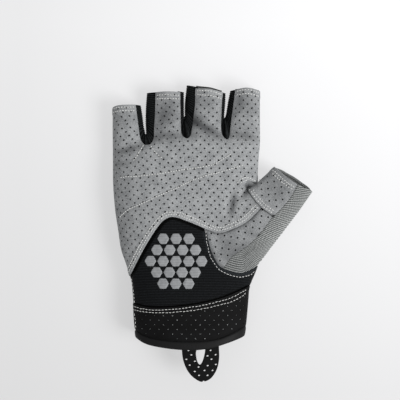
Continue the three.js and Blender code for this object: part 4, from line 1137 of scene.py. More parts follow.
heel_rim_flat = palm_cloth.flat(heel_rim)
band_edge_flat = palm_cloth.flat(band_edge)
# Row of stitches along the elastic's rim, in plan.
HEEL_ROW = [[-4.6, 2.1], [-4.0, -4.5], [-3.0, -9.7], [-1.7, -15.0], [1.0, -19.6], [4.3, -23.6],
            [8.9, -26.2], [14.2, -27.9], [19.5, -28.5], [24.8, -27.2], [27.5, -25.0]]


def heel_layers(flat, surface):
    """Ribbed elastic: its ribs run across, it dips under the palm's folded edge and the band, and
    its rim is folded over the thumb panels."""
    covered = inside(surface[:, :2], palm_outline) | (distance_to(flat, palm_edge_flat) < 0.8)
    tuck = np.where(covered, 1, 1 - smoothstep(distance_to(flat, palm_edge_flat), 0.8, 2.2))
    below = np.where(surface[:, 1] < np.interp(surface[:, 0], band_edge[:, 0], band_edge[:, 1]), 1, 0)
    to_band = distance_to(flat, band_edge_flat)
    tuck = np.maximum(tuck, np.maximum(below, 1 - smoothstep(to_band, 0, 1.2)))
    rim = 1 - smoothstep(distance_to(flat, heel_rim_flat), 1.6, 2.6)
    ribs = HEEL_RIB_DEPTH * (np.cos(2 * np.pi * flat[:, 1] / HEEL_RIB) - 1) * (1 - 0.6 * rim)
    # The top's level also sets the colour: rib crests and the rim painted paler as highlight, the dips
    # under the neighbours painted dark as shade.
    top = ribs - HEEL_TUCK * tuck + HEEL_RIM * rim * (1 - tuck)
    return top, top * 0 - HEEL_THICK


def build_heel():
    """Ribbed elastic over the heel of the hand."""
    outline = palm_cloth.flat(heel_boundary())
    return cut_panel("heel_elastic", palm_cloth, outline, HEEL_STEP, heel_layers)


BAND_UNDER_HEM = 1.5  # mm that the band runs on under the binding


def band_boundary():
    """Outline of the cuff band in plan, from under the binding up to its edge on the heel."""
    low = traced(spline(HEM_TOP)) - [0, BAND_UNDER_HEM]
    low[:, 0] = np.clip(low[:, 0], read(HAND, "y", "left", low[:, 1]), read(HAND, "y", "right", low[:, 1]))
    right = traced(side("right", low[-1, 1], BAND_EDGE[-1][1]))
    left = traced(side("left", BAND_EDGE[0][1], low[0, 1]))
    return np.vstack([low[:-1], right[:-1], band_edge[::-1][:-1], left[:-1]])


# The band's two rows of stitches, in plan.
BAND_ROW_1 = [
    [-51.8, -48.0], [-47.9, -49.1], [-41.3, -49.8], [-34.7, -49.8], [-28.1, -49.4], [-21.5, -48.8],
    [-14.9, -47.9], [-8.3, -46.9], [-1.7, -45.6], [5.0, -44.0], [11.6, -42.0], [18.2, -38.9],
    [22.1, -36.8],
]
BAND_ROW_2 = [
    [-51.8, -50.3], [-47.9, -50.9], [-41.3, -51.5], [-34.7, -51.5], [-28.1, -51.4], [-21.5, -50.8],
    [-14.9, -50.2], [-8.3, -49.2], [-1.7, -47.9], [5.0, -46.3], [11.6, -44.7], [18.2, -41.6],
    [21.5, -39.1],
]
band_rows_flat = flat_paths(palm_cloth, [BAND_ROW_1, BAND_ROW_2])
band_sides_flat = np.vstack([
    palm_cloth.flat(traced(side(column, -74, -30))) for column in ("left", "right")
])
# The band in mm: its faces, how far it goes down under the binding and at its rows of stitches,
# and how far its inner face goes down at the sides to meet the back of the cuff.
BAND_WALL = {"top": 0.55, "bottom": 0.1}
BAND_HEM_DIP = {"deep": 0.8, "ends": (0.6, 2.0)}
BAND_ROW_DIP = {"deep": 0.25, "wide": 0.6}
BAND_SIDE_DIP = {"deep": 0.6, "ends": (0.8, 2.0)}
BAND_HOLE_STEP = (6.0, 3.0)
BAND_HOLE_RADIUS = 0.41
BAND_HOLE_CLEAR = {"edge": 3.2, "row": 1.0}  # mm from a hole to the outline and to a row of stitches
BAND_STEP = (1.4, 1.3)  # mm between the band's points, and between its lining's
BAND_LINING = {"inset": 2.6, "step": (2.5, 2.5), "top": 0.02, "bottom": -0.4}
CUFF_BACK = {"top": 0.25, "thick": 1.6, "step": (2.5, 2.5)}


def band_layers(flat, surface):
    """Neoprene band: drawn in along its two rows of stitches, and under the binding at its hem. Its
    sides reach down to the back of the cuff."""
    hem = palm_cloth.flat(traced(spline(HEM_TOP)))
    under_hem = 1 - smoothstep(distance_to(flat, hem), *BAND_HEM_DIP["ends"])
    top = BAND_WALL["top"] - BAND_HEM_DIP["deep"] * under_hem
    for path in band_rows_flat:
        top -= BAND_ROW_DIP["deep"] * near(flat, path, BAND_ROW_DIP["wide"])
    at_side = 1 - smoothstep(distance_to(flat, band_sides_flat), *BAND_SIDE_DIP["ends"])
    return top, BAND_WALL["bottom"] - BAND_SIDE_DIP["deep"] * at_side


def build_band():
    """Cuff band; its holes keep clear of its outline and of its rows of stitches."""
    outline = palm_cloth.flat(band_boundary())
    found = lattice(outline.min(0), outline.max(0), BAND_HOLE_STEP)
    holes = holes_in(outline, found, BAND_HOLE_CLEAR["edge"])
    holes = holes[distance_to(holes, np.vstack(band_rows_flat)) > BAND_HOLE_CLEAR["row"]]
    return cut_panel("cuff_band_neoprene", palm_cloth, outline, BAND_STEP, band_layers, holes,
                     BAND_HOLE_RADIUS)


def build_band_lining():
    """Light lining that shows through the band's holes."""
    def layers(flat, surface):
        return np.full(len(flat), BAND_LINING["top"]), np.full(len(flat), BAND_LINING["bottom"])

    outline = inset_outline(palm_cloth.flat(band_boundary()), BAND_LINING["inset"])
    return cut_panel("cuff_band_lining", palm_cloth, outline, BAND_LINING["step"], layers)


def inset_outline(outline, distance):
    """An outline moved inwards, leaving out what comes too near its other side."""
    ahead = np.roll(outline, -2, axis=0) - np.roll(outline, 2, axis=0)
    ahead /= np.linalg.norm(ahead, axis=1, keepdims=True)
    moved = outline + distance * np.stack([-ahead[:, 1], ahead[:, 0]], axis=1)
    return moved[distance_to(moved, outline) > 0.97 * distance]


def cuff_back_boundary():
    """Outline of the cuff's back in plan, its hem under the binding's back."""
    t = np.linspace(0, 1, 180)
    hem = spline(HEM_TOP)(t)
    hem[:, 1] = lerp(hem[:, 1], HEM_BACK["top"], np.sin(np.pi * t))
    up = np.vstack([traced(spline(BACK_WAIST))[:-1], traced(spline(WAIST_CORNER))])
    right = traced(side("right", hem[-1, 1], WAIST_CORNER[-1][1]))
    left = traced(side("left", BACK_WAIST[0][1], hem[0, 1]))
    return np.vstack([hem[:-1], right[:-1], up[::-1][:-1], left[:-1]])


def build_cuff_back():
    """Plain back of the cuff, round the wrist."""
    def layers(flat, surface):
        top = np.full(len(flat), CUFF_BACK["top"])
        return top, top - CUFF_BACK["thick"]

    outline = cuff_cloth.flat(cuff_back_boundary())
    return cut_panel("cuff_back_neoprene", cuff_cloth, outline, CUFF_BACK["step"], layers)


BINDING_STEPS = (140, 15)  # round half the opening, and across the tape's width
BINDING_WALL = {"edge": 0.1, "rise": 0.75, "back": 0.6, "inner": -1.4}
BINDING_WIDTH = 5.5


def build_binding():
    """Binding round the wrist opening: a closed ring, rounded across its width, over the palm side
    and back under the back."""
    around, over = BINDING_STEPS
    us, vs = close_to_both(around), np.linspace(0, 1, over)
    plan = coons(spline(HEM_BOTTOM), spline(HEM_TOP), side("left", HEM_BOTTOM[0][1], HEM_TOP[0][1]),
                 side("right", HEM_BOTTOM[-1][1], HEM_TOP[-1][1]))(us, vs)
    level = lerp(HEM_BACK["bottom"], HEM_BACK["top"], vs)[:, None]
    under = plan.copy()
    under[..., 1] = lerp(plan[..., 1], level, np.sin(np.pi * us)[None])
    top = np.concatenate([plan, palm_height(plan[..., 0], plan[..., 1])[..., None]], axis=-1)
    bottom = np.concatenate([under, back_height(under[..., 0], under[..., 1], 0.6)[..., None]], axis=-1)
    for i in (0, -1):
        middle = (top[:, i, 2] + bottom[:, i, 2]) / 2
        top[:, i, 2], bottom[:, i, 2] = middle, middle
    grid = np.concatenate([top[:, :-1], bottom[:, :0:-1]], axis=1)
    walked = np.cumsum(np.linalg.norm(np.diff(grid, axis=1, prepend=grid[:, :1]), axis=2), axis=1)
    across = (2 * vs - 1)[:, None]
    outer = BINDING_WALL["edge"] + BINDING_WALL["rise"] * np.sqrt(1 - np.abs(across) ** 3) + 0 * walked
    on_back = np.arange(grid.shape[1])[None] > around - 1
    outer = np.where(on_back, np.minimum(outer, BINDING_WALL["back"]), outer)
    uv = np.stack([walked, np.broadcast_to(vs[:, None] * BINDING_WIDTH, walked.shape)], axis=-1)
    return grid_panel("hem_binding_tape", grid, outer, BINDING_WALL["inner"], uv, closed=True)


WEB_RIB = 1.26  # mm from one rib of a web to the next
WEB_RIB_DEPTH = 0.2
WEB_STEPS = (340, 26)  # round the slot, and round the half ellipse
WEB_LIP = 1.6  # mm that the lips run in under the palm and over the back
WEB_CLEAR = {"palm": 0.2, "back": 0.25}  # mm from the lips to the hand's two surfaces
WEB_WALL = 1.0
WEB_DEPTH = 20  # mm of cloth from lip to lip, for its yarns


def build_web(name):
    """Web between two fingers: at each step round the slot its cross-section is half an ellipse,
    from a lip under the palm leather, out into the slot, to a lip over the back. Fine ribs run
    with the cross-sections."""
    rows = SLOTS[name]
    around, across = WEB_STEPS
    steps = np.linspace(0, 1, around)
    edge, crest = slot_curves[name](steps), spline(np.stack([rows["web_x"], rows["web_y"]], axis=1))(steps)
    out = crest - edge
    out /= np.linalg.norm(out, axis=1, keepdims=True)
    base = edge - WEB_LIP * out
    top = palm_height(edge[:, 0], edge[:, 1]) - WEB_CLEAR["palm"]
    bottom = back_height(edge[:, 0], edge[:, 1]) + WEB_CLEAR["back"]
    angle = np.linspace(math.pi, 0, across)
    reach = np.sin(angle)[None, :, None]
    plan = lerp(base[:, None], crest[:, None], reach)
    z = lerp(bottom[:, None], top[:, None], (1 + np.cos(angle)[None]) / 2)
    grid = np.concatenate([plan, z[..., None]], axis=-1)
    length = np.r_[0, np.cumsum(np.linalg.norm(np.diff(crest, axis=0), axis=1))]
    # The ribs' level also paints their crests paler as a highlight.
    ribs = WEB_RIB_DEPTH * (np.cos(2 * np.pi * length / WEB_RIB) - 1)[:, None] + 0 * z
    uv = np.stack([np.broadcast_to(np.linspace(0, WEB_DEPTH, across)[None], z.shape),
                   np.broadcast_to(length[:, None], z.shape)], axis=-1)
    return grid_panel(name + "_cloth", grid, ribs, -WEB_WALL, uv)


def loop_height(x, y):
    """Middle of the pull loop: level with the palm at its root, and drooping evenly from there."""
    droop = LOOP_DROOP * np.maximum(0, LOOP_ROOT_Y - y)
    return palm_height(x, np.full_like(y, LOOP_ROOT_Y)) - LOOP_UNDER_HEM - droop


loop_cloth = Cloth(loop_height, (0, 0), (0, 1), (-100, -69), lambda p: np.full_like(p, -23.0),
                   lambda p: np.full_like(p, 7.0))
# The pull loop's holes, in plan.
LOOP_HOLES = np.array([
    [-15.8, -76.7], [-13.9, -79.7], [-17.2, -82.7], [-11.6, -84.0], [-15.0, -86.6], [-9.2, -87.9],
    [-11.7, -90.9], [-8.9, -93.6], [-3.3, -93.6], [-5.3, -90.3], [0, -90.3], [-3.2, -87.0],
    [2.2, -86.3], [-0.7, -82.7], [-3.3, -80.4], [2.0, -79.7], [-1.3, -76.7],
])
LOOP_HOLE_RADIUS = 0.72
LOOP_STEP = (1.2, 1.2)
LOOP_THICK = 1.5
# A nick in the loop's lower rim: its middle in x, the height it lies below, its depth and width.
LOOP_NOTCH = (-5.9, -95)
LOOP_NOTCH_DEPTH = 0.9
LOOP_NOTCH_WIDTH = 0.5


def build_loop():
    """Pull loop: a flat ring of perforated neoprene round its slot."""
    edge = spline(np.stack([LOOP_OUTLINE["x"], LOOP_OUTLINE["y"]], axis=1))
    slot = spline(np.stack([LOOP_OUTLINE["slot_x"], LOOP_OUTLINE["slot_y"]], axis=1))
    rim = traced(edge)
    low = rim[:, 1] < LOOP_NOTCH[1]
    rim[:, 1] += low * LOOP_NOTCH_DEPTH * np.exp(
        -((rim[:, 0] - LOOP_NOTCH[0]) / LOOP_NOTCH_WIDTH) ** 2)
    outline = loop_cloth.flat(rim)
    hollow = loop_cloth.flat(traced(slot))[::-1]

    def layers(flat, surface):
        top = np.full(len(flat), LOOP_THICK / 2)
        return top, top - LOOP_THICK

    return cut_panel("pull_loop_neoprene", loop_cloth, outline, LOOP_STEP, layers,
                     loop_cloth.flat(LOOP_HOLES), LOOP_HOLE_RADIUS, slots=(hollow,))


# A stitch in mm: how far it strays, how deep its ends sink, how high it rises and how that varies.
STITCH_STRAY = 0.07
STITCH_SINK = 0.12
STITCH_RISE = 0.3
STITCH_VARIES = 0.15
STITCH_RINGS = (7, 6)  # rings along a stitch, and points round each


def stitches(name, runs, pitch=1.75, length=1.35, thread=0.27):
    """Sewing thread: short round tubes end to end along each run. A stitch rises out of the cloth
    and back into it as half a wave, and thins to nothing at both ends."""
    along, sides = STITCH_RINGS
    rings = np.linspace(-1, 1, along)
    turn = np.arange(sides) * 2 * np.pi / sides
    pieces = []
    for cloth, path, level in runs:
        walked = np.r_[0, np.cumsum(np.linalg.norm(np.diff(path, axis=0), axis=1))]
        count = max(1, int(walked[-1] / pitch))
        centre = (np.arange(count) + 0.5) * walked[-1] / count
        at = centre[:, None] + rings[None] * length / 2
        flat = np.stack([np.interp(at, walked, path[:, i]) for i in (0, 1)], axis=-1)
        flat = flat + STITCH_STRAY * rng.standard_normal((count, 1, 2))
        spot, normal = cloth.placed(flat[..., 0], flat[..., 1])
        varied = 1 + STITCH_VARIES * rng.standard_normal((count, 1))
        rise = level - STITCH_SINK + STITCH_RISE * np.cos(rings * np.pi / 2) ** 0.7 * varied
        spine = spot + normal * rise[..., None]
        ahead = np.gradient(spine, axis=1)
        ahead /= np.linalg.norm(ahead, axis=-1, keepdims=True)
        beside = np.cross(ahead, normal)
        beside /= np.linalg.norm(beside, axis=-1, keepdims=True)
        above = np.cross(beside, ahead)
        radius = thread * np.sqrt(np.maximum(0.01, 1 - rings ** 2 * 0.98))[None, :, None, None]
        ring = beside[:, :, None] * np.cos(turn)[:, None] + above[:, :, None] * np.sin(turn)[:, None]
        pieces.append((spine[:, :, None] + radius * ring).reshape(-1, along, sides, 3))
    tubes = np.concatenate(pieces)
    count = len(tubes)
    index = np.arange(count * along * sides).reshape(count, along, sides)
    after = np.roll(index, -1, axis=2)
    quads = np.stack([index[:, :-1], after[:, :-1], after[:, 1:], index[:, 1:]], axis=-1).reshape(-1, 4)
    caps = np.concatenate([index[:, 0, ::-1], index[:, -1]])
    return new_object(name, tubes.reshape(-1, 3), quads.tolist() + caps.tolist(), sharp=80)


# The print's pads in mm: from column to column, from row to row, and across a pad's flats.
PAD_COUNTS = (3, 4, 5, 4, 3)
PAD_COLUMN = 8.4
PAD_ROW = 7.3
PAD_FLATS = 6.9
PADS = [[(column - (count - 1) / 2) * PAD_COLUMN for column in range(count)] for count in PAD_COUNTS]
PRINT_MIDDLE = np.array([[-24.0, -18.0]])  # in plan
PAD_SIDES = 36
# A pad's rings from its middle out: their share of its size, and their height over the elastic.
PAD_RINGS = table("share rise", [[0.0, 0.42], [0.5, 0.42], [0.86, 0.4], [0.96, 0.3], [1.0, -0.2]])


def build_print():
    """Grip print: raised six-sided pads with rounded corners, in staggered rows on the heel."""
    middle = palm_cloth.flat(PRINT_MIDDLE)[0]
    centres = np.array([[middle[0] + x, middle[1] + (2 - row) * PAD_ROW]
                        for row, xs in enumerate(PADS) for x in xs])
    rings = PAD_RINGS["share"]
    turn = np.arange(PAD_SIDES) * 2 * np.pi / PAD_SIDES
    to_flat = (turn + np.pi / 6) % (np.pi / 3) - np.pi / 6
    edge = PAD_FLATS / 2 * (1 / np.cos(to_flat)) ** 0.85
    ahead = np.stack([np.cos(turn + np.pi / 6), np.sin(turn + np.pi / 6)], axis=1)
    shape = rings[:, None, None] * (edge[:, None] * ahead)
    flat = centres[:, None, None] + shape[None]
    spot, normal = palm_cloth.placed(flat[..., 0], flat[..., 1])
    points = spot + normal * PAD_RINGS["rise"][None, :, None, None]
    index = np.arange(len(centres) * len(rings) * PAD_SIDES).reshape(len(centres), len(rings), PAD_SIDES)
    after = np.roll(index, -1, axis=2)
    quads = np.stack([index[:, :-1], index[:, 1:], after[:, 1:], after[:, :-1]], axis=-1).reshape(-1, 4)
    base = index[:, -1, ::-1]
    faces = quads.tolist() + base.tolist()
    piece = new_object("grip_print_pads", points.reshape(-1, 3), faces, sharp=80)
    welded(piece)
    return piece


def welded(piece):
    """Merges points that lie on each other, as at a pad's middle."""
    mesh = bmesh.new()
    mesh.from_mesh(piece.data)
    bmesh.ops.remove_doubles(mesh, verts=mesh.verts, dist=1e-6)
    bmesh.ops.dissolve_degenerate(mesh, edges=mesh.edges, dist=1e-7)
    mesh.to_mesh(piece.data)
    mesh.free()


def linear(code):
    """Linear colour of an sRGB hex value."""
    srgb = [int(code[i:i + 2], 16) / 255 for i in (1, 3, 5)]
    return [c / 12.92 if c <= 0.04045 else ((c + 0.055) / 1.055) ** 2.4 for c in srgb] + [1.0]


def add(tree, kind, inputs=None, **settings):
    """Adds a node with its settings, its inputs set to values or linked to other sockets."""
    made = tree.nodes.new(kind)
    for key, value in settings.items():
        setattr(made, key, value)
    for key, value in (inputs or {}).items():
        if isinstance(value, bpy.types.NodeSocket):
            tree.links.new(value, made.inputs[key])
        else:
            made.inputs[key].default_value = value
    return made


def stretched(tree, source, millimetres):
    """Coordinates in which one unit is the given size in millimetres along each axis."""
    unit = MM if source == "Object" else 1
    scale = [1 / (unit * size) for size in millimetres]
    coordinates = add(tree, "ShaderNodeTexCoord").outputs[source]
    return add(tree, "ShaderNodeMapping", {"Vector": coordinates, "Scale": scale}).outputs["Vector"]


def speckle(tree, coordinates, detail=2.0, rough=0.5):
    return add(tree, "ShaderNodeTexNoise",
               {"Vector": coordinates, "Scale": 1.0, "Detail": detail, "Roughness": rough}).outputs["Fac"]


def ramp(tree, value, low, high, first, second):
    """Runs a value from low to high into the range from first to second."""
    return add(tree, "ShaderNodeMapRange", {"Value": value, "From Min": low, "From Max": high,
                                            "To Min": first, "To Max": second}).outputs["Result"]


def blended(tree, share, first, second):
    """Colour between two, by a share from 0 to 1."""
    mix = add(tree, "ShaderNodeMix", data_type="RGBA")
    for socket, value in zip((mix.inputs[0], mix.inputs[6], mix.inputs[7]), (share, first, second)):
        if isinstance(value, bpy.types.NodeSocket):
            tree.links.new(value, socket)
        else:
            socket.default_value = value
    return mix.outputs[2]


def summed(tree, first, second, how="ADD"):
    """Two values added, or worked out in another of the Math node's ways."""
    return add(tree, "ShaderNodeMath", {0: first, 1: second}, operation=how).outputs[0]


def cloth_material(name, roughness, sheen, gloss, build):
    """A cloth's shader: build gives its colour, its bump height and that height in millimetres."""
    material = bpy.data.materials.new(name)
    material.use_nodes = True
    tree = material.node_tree
    shader = tree.nodes["Principled BSDF"]
    shader.inputs["Roughness"].default_value = roughness
    shader.inputs["Sheen Weight"].default_value = sheen
    shader.inputs["Sheen Roughness"].default_value = 0.5
    shader.inputs["Specular IOR Level"].default_value = gloss
    color, height, depth = build(tree)
    tree.links.new(color, shader.inputs["Base Color"])
    bump = add(tree, "ShaderNodeBump", {"Height": height, "Distance": depth * MM, "Strength": 1.0})
    tree.links.new(bump.outputs["Normal"], shader.inputs["Normal"])
    return material


def attribute(tree, name):
    """A value that the mesh carries at each of its points."""
    return add(tree, "ShaderNodeAttribute", attribute_name=name).outputs["Fac"]


def suede(tree):
    """Nap mottled in patches about 5 mm across and fibres about 0.6 mm, paler where it is sewn, with
    shade painted in its creases, hollows and seams and on its inner face.
    """
    patches = speckle(tree, stretched(tree, "UV", (6.0, 6.0, 6.0)), 3)
    fibres = speckle(tree, stretched(tree, "UV", (0.75, 0.75, 0.75)), 3, 0.7)
    share = summed(tree, ramp(tree, patches, 0.3, 0.7, 0.0, 0.4), ramp(tree, fibres, 0.36, 0.64, 0.0, 0.6))
    nap = blended(tree, share, linear("#6f7173"), linear("#b2b4b5"))
    # Painted shade in creases, hollows and on slopes turned from the light.
    brushed = blended(tree, attribute(tree, "brushed"), nap, linear("#3c3d3f"))
    sewn = summed(tree, attribute(tree, "sewn"), ramp(tree, fibres, 0.45, 0.6, 0.0, 0.25), "MULTIPLY")
    face = blended(tree, sewn, brushed, linear("#bfc0bf"))
    # Painted shade in seams, pits and on the rims of holes.
    groove_shaded = blended(tree, attribute(tree, "groove"), face, linear("#1c1d1e"))
    # The inner face is painted near black as the shade inside the glove.
    return blended(tree, attribute(tree, "painted_inner_shade"), groove_shaded, linear("#0b0b0c")), fibres, 0.12


def wave(tree, turns):
    """1 at every whole turn and -1 half way between."""
    angle = summed(tree, turns, 2 * math.pi, "MULTIPLY")
    return add(tree, "ShaderNodeMath", {0: angle}, operation="COSINE").outputs[0]


def knit(tree):
    """Ribs along V and stitches along U, as in the mesh: crests painted pale as a highlight with painted
    shade between them, each crest painted dark as shade where it is notched, every other rib half a
    stitch on."""
    place = add(tree, "ShaderNodeSeparateXYZ", {"Vector": stretched(tree, "UV", (STITCH, RIB, 1.0))})
    row = add(tree, "ShaderNodeMath", {0: place.outputs["Y"]}, operation="ROUND").outputs[0]
    # Painted highlight on the crests and painted shade in the hollows and notches.
    crest = ramp(tree, wave(tree, place.outputs["Y"]), -1.0, 1.0, 0.0, 1.0)
    shifted = summed(tree, place.outputs["X"], summed(tree, row, 0.5, "MULTIPLY"))
    notch = ramp(tree, wave(tree, shifted), -1.0, 1.0, 1.0, 0.0)
    dip = summed(tree, summed(tree, notch, attribute(tree, "notched"), "MULTIPLY"), crest, "MULTIPLY")
    loops = speckle(tree, stretched(tree, "UV", (0.7, 0.7, 0.7)), 2)
    patches = speckle(tree, stretched(tree, "UV", (9.0, 9.0, 9.0)), 2)
    share = summed(tree, summed(tree, crest, dip, "SUBTRACT"), ramp(tree, loops, 0.3, 0.7, -0.2, 0.2))
    yarn = blended(tree, share, linear("#353837"), linear("#b6b8b7"))
    shaded = blended(tree, ramp(tree, patches, 0.35, 0.7, 0.0, 0.2), yarn, linear("#7c7f7e"))
    # Painted shade in the seam and at the foot of the thumb knit.
    groove_shaded = blended(tree, attribute(tree, "groove"), shaded, linear("#1c1d1e"))
    # The inner face is painted dark as the shade inside the glove.
    return blended(tree, attribute(tree, "painted_inner_shade"), groove_shaded, linear("#1c1d1d")), loops, 0.1


def ribbed_black(low, high, yarn_size, low_color, high_color):
    """Black ribs whose crests are painted paler as a highlight and whose low parts are painted darker as
    shade, with yarns of a given size in millimetres.
    """
    def build(tree):
        yarns = speckle(tree, stretched(tree, "UV", (yarn_size, yarn_size * 0.6, 1.0)), 2)
        # The level paints highlight on high parts and shade on low ones.
        height = ramp(tree, attribute(tree, "level"), low, high, 0.0, 1.0)
        share = summed(tree, height, ramp(tree, yarns, 0.3, 0.7, 0.2, 1.0), "MULTIPLY")
        return blended(tree, share, linear(low_color), linear(high_color)), yarns, 0.12

    return build


def neoprene(tree):
    """Knitted jersey face over foam: loops about 0.5 mm, drawn at 0.7 mm to show."""
    loops = speckle(tree, stretched(tree, "UV", (0.7, 0.7, 0.7)), 2)
    patches = speckle(tree, stretched(tree, "UV", (14.0, 8.0, 8.0)), 2)
    share = summed(tree, ramp(tree, loops, 0.3, 0.7, 0.0, 0.5), ramp(tree, patches, 0.3, 0.7, 0.0, 0.5))
    return blended(tree, share, linear("#040404"), linear("#101011")), loops, 0.08


def tape(tree):
    """Woven binding tape, smooth, its yarns about 0.5 mm across the tape."""
    yarns = speckle(tree, stretched(tree, "UV", (0.5, 4.0, 1.0)), 2)
    return blended(tree, yarns, linear("#090909"), linear("#161617")), yarns, 0.05


def thread(tree):
    """Bonded polyester sewing thread, off-white, faintly grey where it is twisted."""
    twist = speckle(tree, stretched(tree, "Object", (0.4, 0.4, 0.4)), 2)
    return blended(tree, twist, linear("#c4c5c2"), linear("#f0f0ee")), twist, 0.05


def silicone(tree):
    """Screen-printed silicone: faintly uneven, the cords of the elastic under it showing through."""
    patches = speckle(tree, stretched(tree, "Object", (2.5, 2.5, 2.5)), 2)
    place = add(tree, "ShaderNodeSeparateXYZ", {"Vector": stretched(tree, "Object", (HEEL_RIB,) * 3)})
    cords = ramp(tree, wave(tree, place.outputs["Y"]), -1.0, 1.0, 0.0, 0.55)
    share = summed(tree, cords, ramp(tree, patches, 0.3, 0.7, 0.0, 0.45))
    return blended(tree, share, linear("#76787a"), linear("#9ea0a2")), share, 0.08


def mesh_lining(tree):
    """Pale lining cloth, its yarns about 0.5 mm, greyer in patches about 7 mm across."""
    yarns = speckle(tree, stretched(tree, "UV", (0.5, 0.5, 0.5)), 2)
    patches = speckle(tree, stretched(tree, "UV", (7.0, 7.0, 7.0)), 2)
    share = summed(tree, ramp(tree, patches, 0.38, 0.62, 0.0, 0.8), ramp(tree, yarns, 0.3, 0.7, 0.0, 0.2))
    return blended(tree, share, linear("#4a4c4e"), linear("#cfd1d2")), yarns, 0.05


MATERIALS = {
    # Synthetic suede: matt, with a soft glow at grazing angles; its punched holes look dark from painted
    # shade on their rims and on the inner faces seen through them.
    "palm_leather": cloth_material("perforated_suede", 0.92, 0.1, 0.2, suede),
    # Polyester rib knit: matt, its crests painted pale as a highlight and its hollows painted dark as
    # shade.
    "back_knit": cloth_material("ribbed_polyester_knit", 0.9, 0.1, 0.2, knit),
    # Spandex cloth: near black, with fine ribs that barely show, their crests painted paler as a
    # highlight.
    "finger_web": cloth_material("ribbed_spandex", 0.8, 0.0, 0.08,
                                 ribbed_black(-0.4, 0.0, 0.7, "#020202", "#2e3132")),
    # Woven elastic: near black, its cords painted paler on top as a highlight, and painted darker as shade
    # where it dips under its neighbours.
    "heel_elastic": cloth_material("woven_elastic", 0.75, 0.0, 0.07,
                                   ribbed_black(-0.2, 0.05, 0.8, "#030303", "#2c2f32")),
    # Jersey-faced neoprene: dark, faintly shining.
    "cuff_neoprene": cloth_material("jersey_faced_neoprene", 0.75, 0.0, 0.12, neoprene),
    # Nylon binding tape: dark and smoother than the rest.
    "binding_tape": cloth_material("nylon_binding_tape", 0.6, 0.0, 0.17, tape),
    # Polyester thread: pale, faintly shining.
    "sewing_thread": cloth_material("polyester_thread", 0.6, 0.1, 0.3, thread),
    # Silicone print: grey, smoother than the cloth under it.
    "grip_print": cloth_material("silicone_print", 0.5, 0.0, 0.4, silicone),
}
LINING = cloth_material("polyester_lining", 0.9, 0.0, 0.2, mesh_lining)


def dressed(piece, slot, replaced=(), material=None):
    """Gives a piece its finish and its place on the glove."""
    piece.data.materials.append(material or MATERIALS[slot])
    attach(piece, "root")
    if replaced:
        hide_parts(*replaced)


# The camera looks straight down. It comes first, as the photograph's frame sets the rest.
VIEW_CENTRE = np.array([-8.25, 21.9])  # mm in plan, under the middle of the frame
VIEW_HEIGHT = 0.7533  # metres over the floor
camera_data = bpy.data.cameras.new("camera")
camera_data.lens = 100
camera_data.sensor_width = 36
camera = bpy.data.objects.new("camera", camera_data)
camera.location = (*((VIEW_CENTRE + ORIGIN) * MM), VIEW_HEIGHT)
bpy.context.scene.collection.objects.link(camera)
bpy.context.scene.camera = camera

dressed(build_palm(), "palm_leather", ["palm_panel"])
dressed(build_back(), "back_knit", ["back_panel"])
dressed(build_tip(), "palm_leather", ["thumb_tip_panel"])
dressed(build_base(), "palm_leather", ["thumb_base_panel"])
dressed(build_thumb_knit(), "back_knit", ["thumb_knit"])
dressed(build_heel(), "heel_elastic", ["heel_panel"])
dressed(build_band(), "cuff_neoprene", ["cuff_band"])
dressed(build_band_lining(), "back_knit", material=LINING)
dressed(build_cuff_back(), "cuff_neoprene", ["cuff_back"])
dressed(build_binding(), "binding_tape", ["hem_binding"])
dressed(build_loop(), "cuff_neoprene", ["pull_loop"])
for slot_name in SLOTS:
    dressed(build_web(slot_name), "finger_web", [slot_name])

palm_runs = [(palm_cloth, path, 0.3) for path in palm_quilting]
palm_runs += [(palm_cloth, path, 0.62) for path in palm_edge_rows]
palm_runs += [(palm_cloth, path, 0.48) for path in palm_hems]
dressed(stitches("palm_stitching", palm_runs), "sewing_thread")
thumb_runs = [(thumb_cloth, path, 1.0) for path in strip_rows]
thumb_runs += [(thumb_cloth, path, 0.35) for path in thumb_hems]
dressed(stitches("thumb_stitching", thumb_runs), "sewing_thread")
cuff_runs = [(palm_cloth, path, 0.5) for path in band_rows_flat]
cuff_runs += [(palm_cloth, palm_cloth.flat(traced(spline(HEEL_ROW))), 0.2)]
cuff_runs += [(palm_cloth, side_rows[0], 0.1), (palm_cloth, side_rows[1], 0.65)]
dressed(stitches("cuff_stitching", cuff_runs, pitch=2.2, length=1.75, thread=0.2), "sewing_thread")
dressed(build_print(), "grip_print")

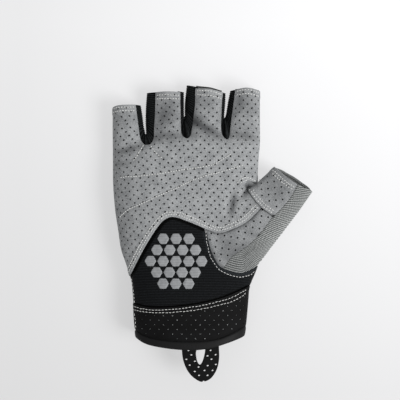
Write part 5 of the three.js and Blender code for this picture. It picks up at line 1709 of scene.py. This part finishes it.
# The floor: white, glowing with painted light that is brighter towards its upper right.
FLOOR_SIZE = 6.0
floor_mesh = bpy.data.meshes.new("floor")
corners = [(x * FLOOR_SIZE, y * FLOOR_SIZE, 0.0) for x, y in ((-1, -1), (1, -1), (1, 1), (-1, 1))]
floor_mesh.from_pydata(corners, [], [(0, 1, 2, 3)])
floor = bpy.data.objects.new("floor", floor_mesh)
bpy.context.scene.collection.objects.link(floor)
paper = bpy.data.materials.new("floor_painted_glow")
paper.use_nodes = True
paper_shader = paper.node_tree.nodes["Principled BSDF"]
paper_shader.inputs["Base Color"].default_value = linear("#8a8a8b")
paper_shader.inputs["Roughness"].default_value = 1.0
# The floor glows with painted light, though it is no lamp.
paper_shader.inputs["Emission Strength"].default_value = 1.0
place = add(paper.node_tree, "ShaderNodeSeparateXYZ",
            {"Vector": add(paper.node_tree, "ShaderNodeTexCoord").outputs["Object"]})
# Metres over which the floor's painted glow grows to the right and towards the fingers.
LIT_ACROSS = (-0.13, 0.12)
LIT_UP = (-0.11, 0.14)
across = ramp(paper.node_tree, place.outputs["X"], *LIT_ACROSS, 0.0, 1.0)
up = ramp(paper.node_tree, place.outputs["Y"], *LIT_UP, 0.0, 0.38)
gain = ramp(paper.node_tree, place.outputs["Y"], *LIT_UP, 0.22, 0.62)
glow = summed(paper.node_tree, up, summed(paper.node_tree, across, gain, "MULTIPLY"))
glow_color = blended(paper.node_tree, glow, linear("#b4b4b4"), linear("#e2e2e3"))
paper.node_tree.links.new(glow_color, paper_shader.inputs["Emission Color"])
floor_mesh.materials.append(paper)


def lamp(name, place, power, size, aim=(0, 0, 0)):
    """A square soft light that looks at a point."""
    data = bpy.data.lights.new(name, "AREA")
    data.energy = power
    data.size = size
    lit = bpy.data.objects.new(name, data)
    away = np.array(place, float) - aim
    lit.location = place
    lit.rotation_euler = (math.atan2(math.hypot(away[0], away[1]), away[2]), 0,
                          math.atan2(away[1], away[0]) + math.pi / 2)
    bpy.context.scene.collection.objects.link(lit)


lamp("key_light", (1.1, -0.45, 1.3), 25, 0.8)
lamp("fill_light", (-0.3, 1.2, 1.6), 2, 1.2)
world = bpy.data.worlds.new("studio")
world.use_nodes = True
world.node_tree.nodes["Background"].inputs["Color"].default_value = (1, 1, 1, 1)
world.node_tree.nodes["Background"].inputs["Strength"].default_value = 0.5
bpy.context.scene.world = world
bpy.context.scene.view_settings.view_transform = "Standard"
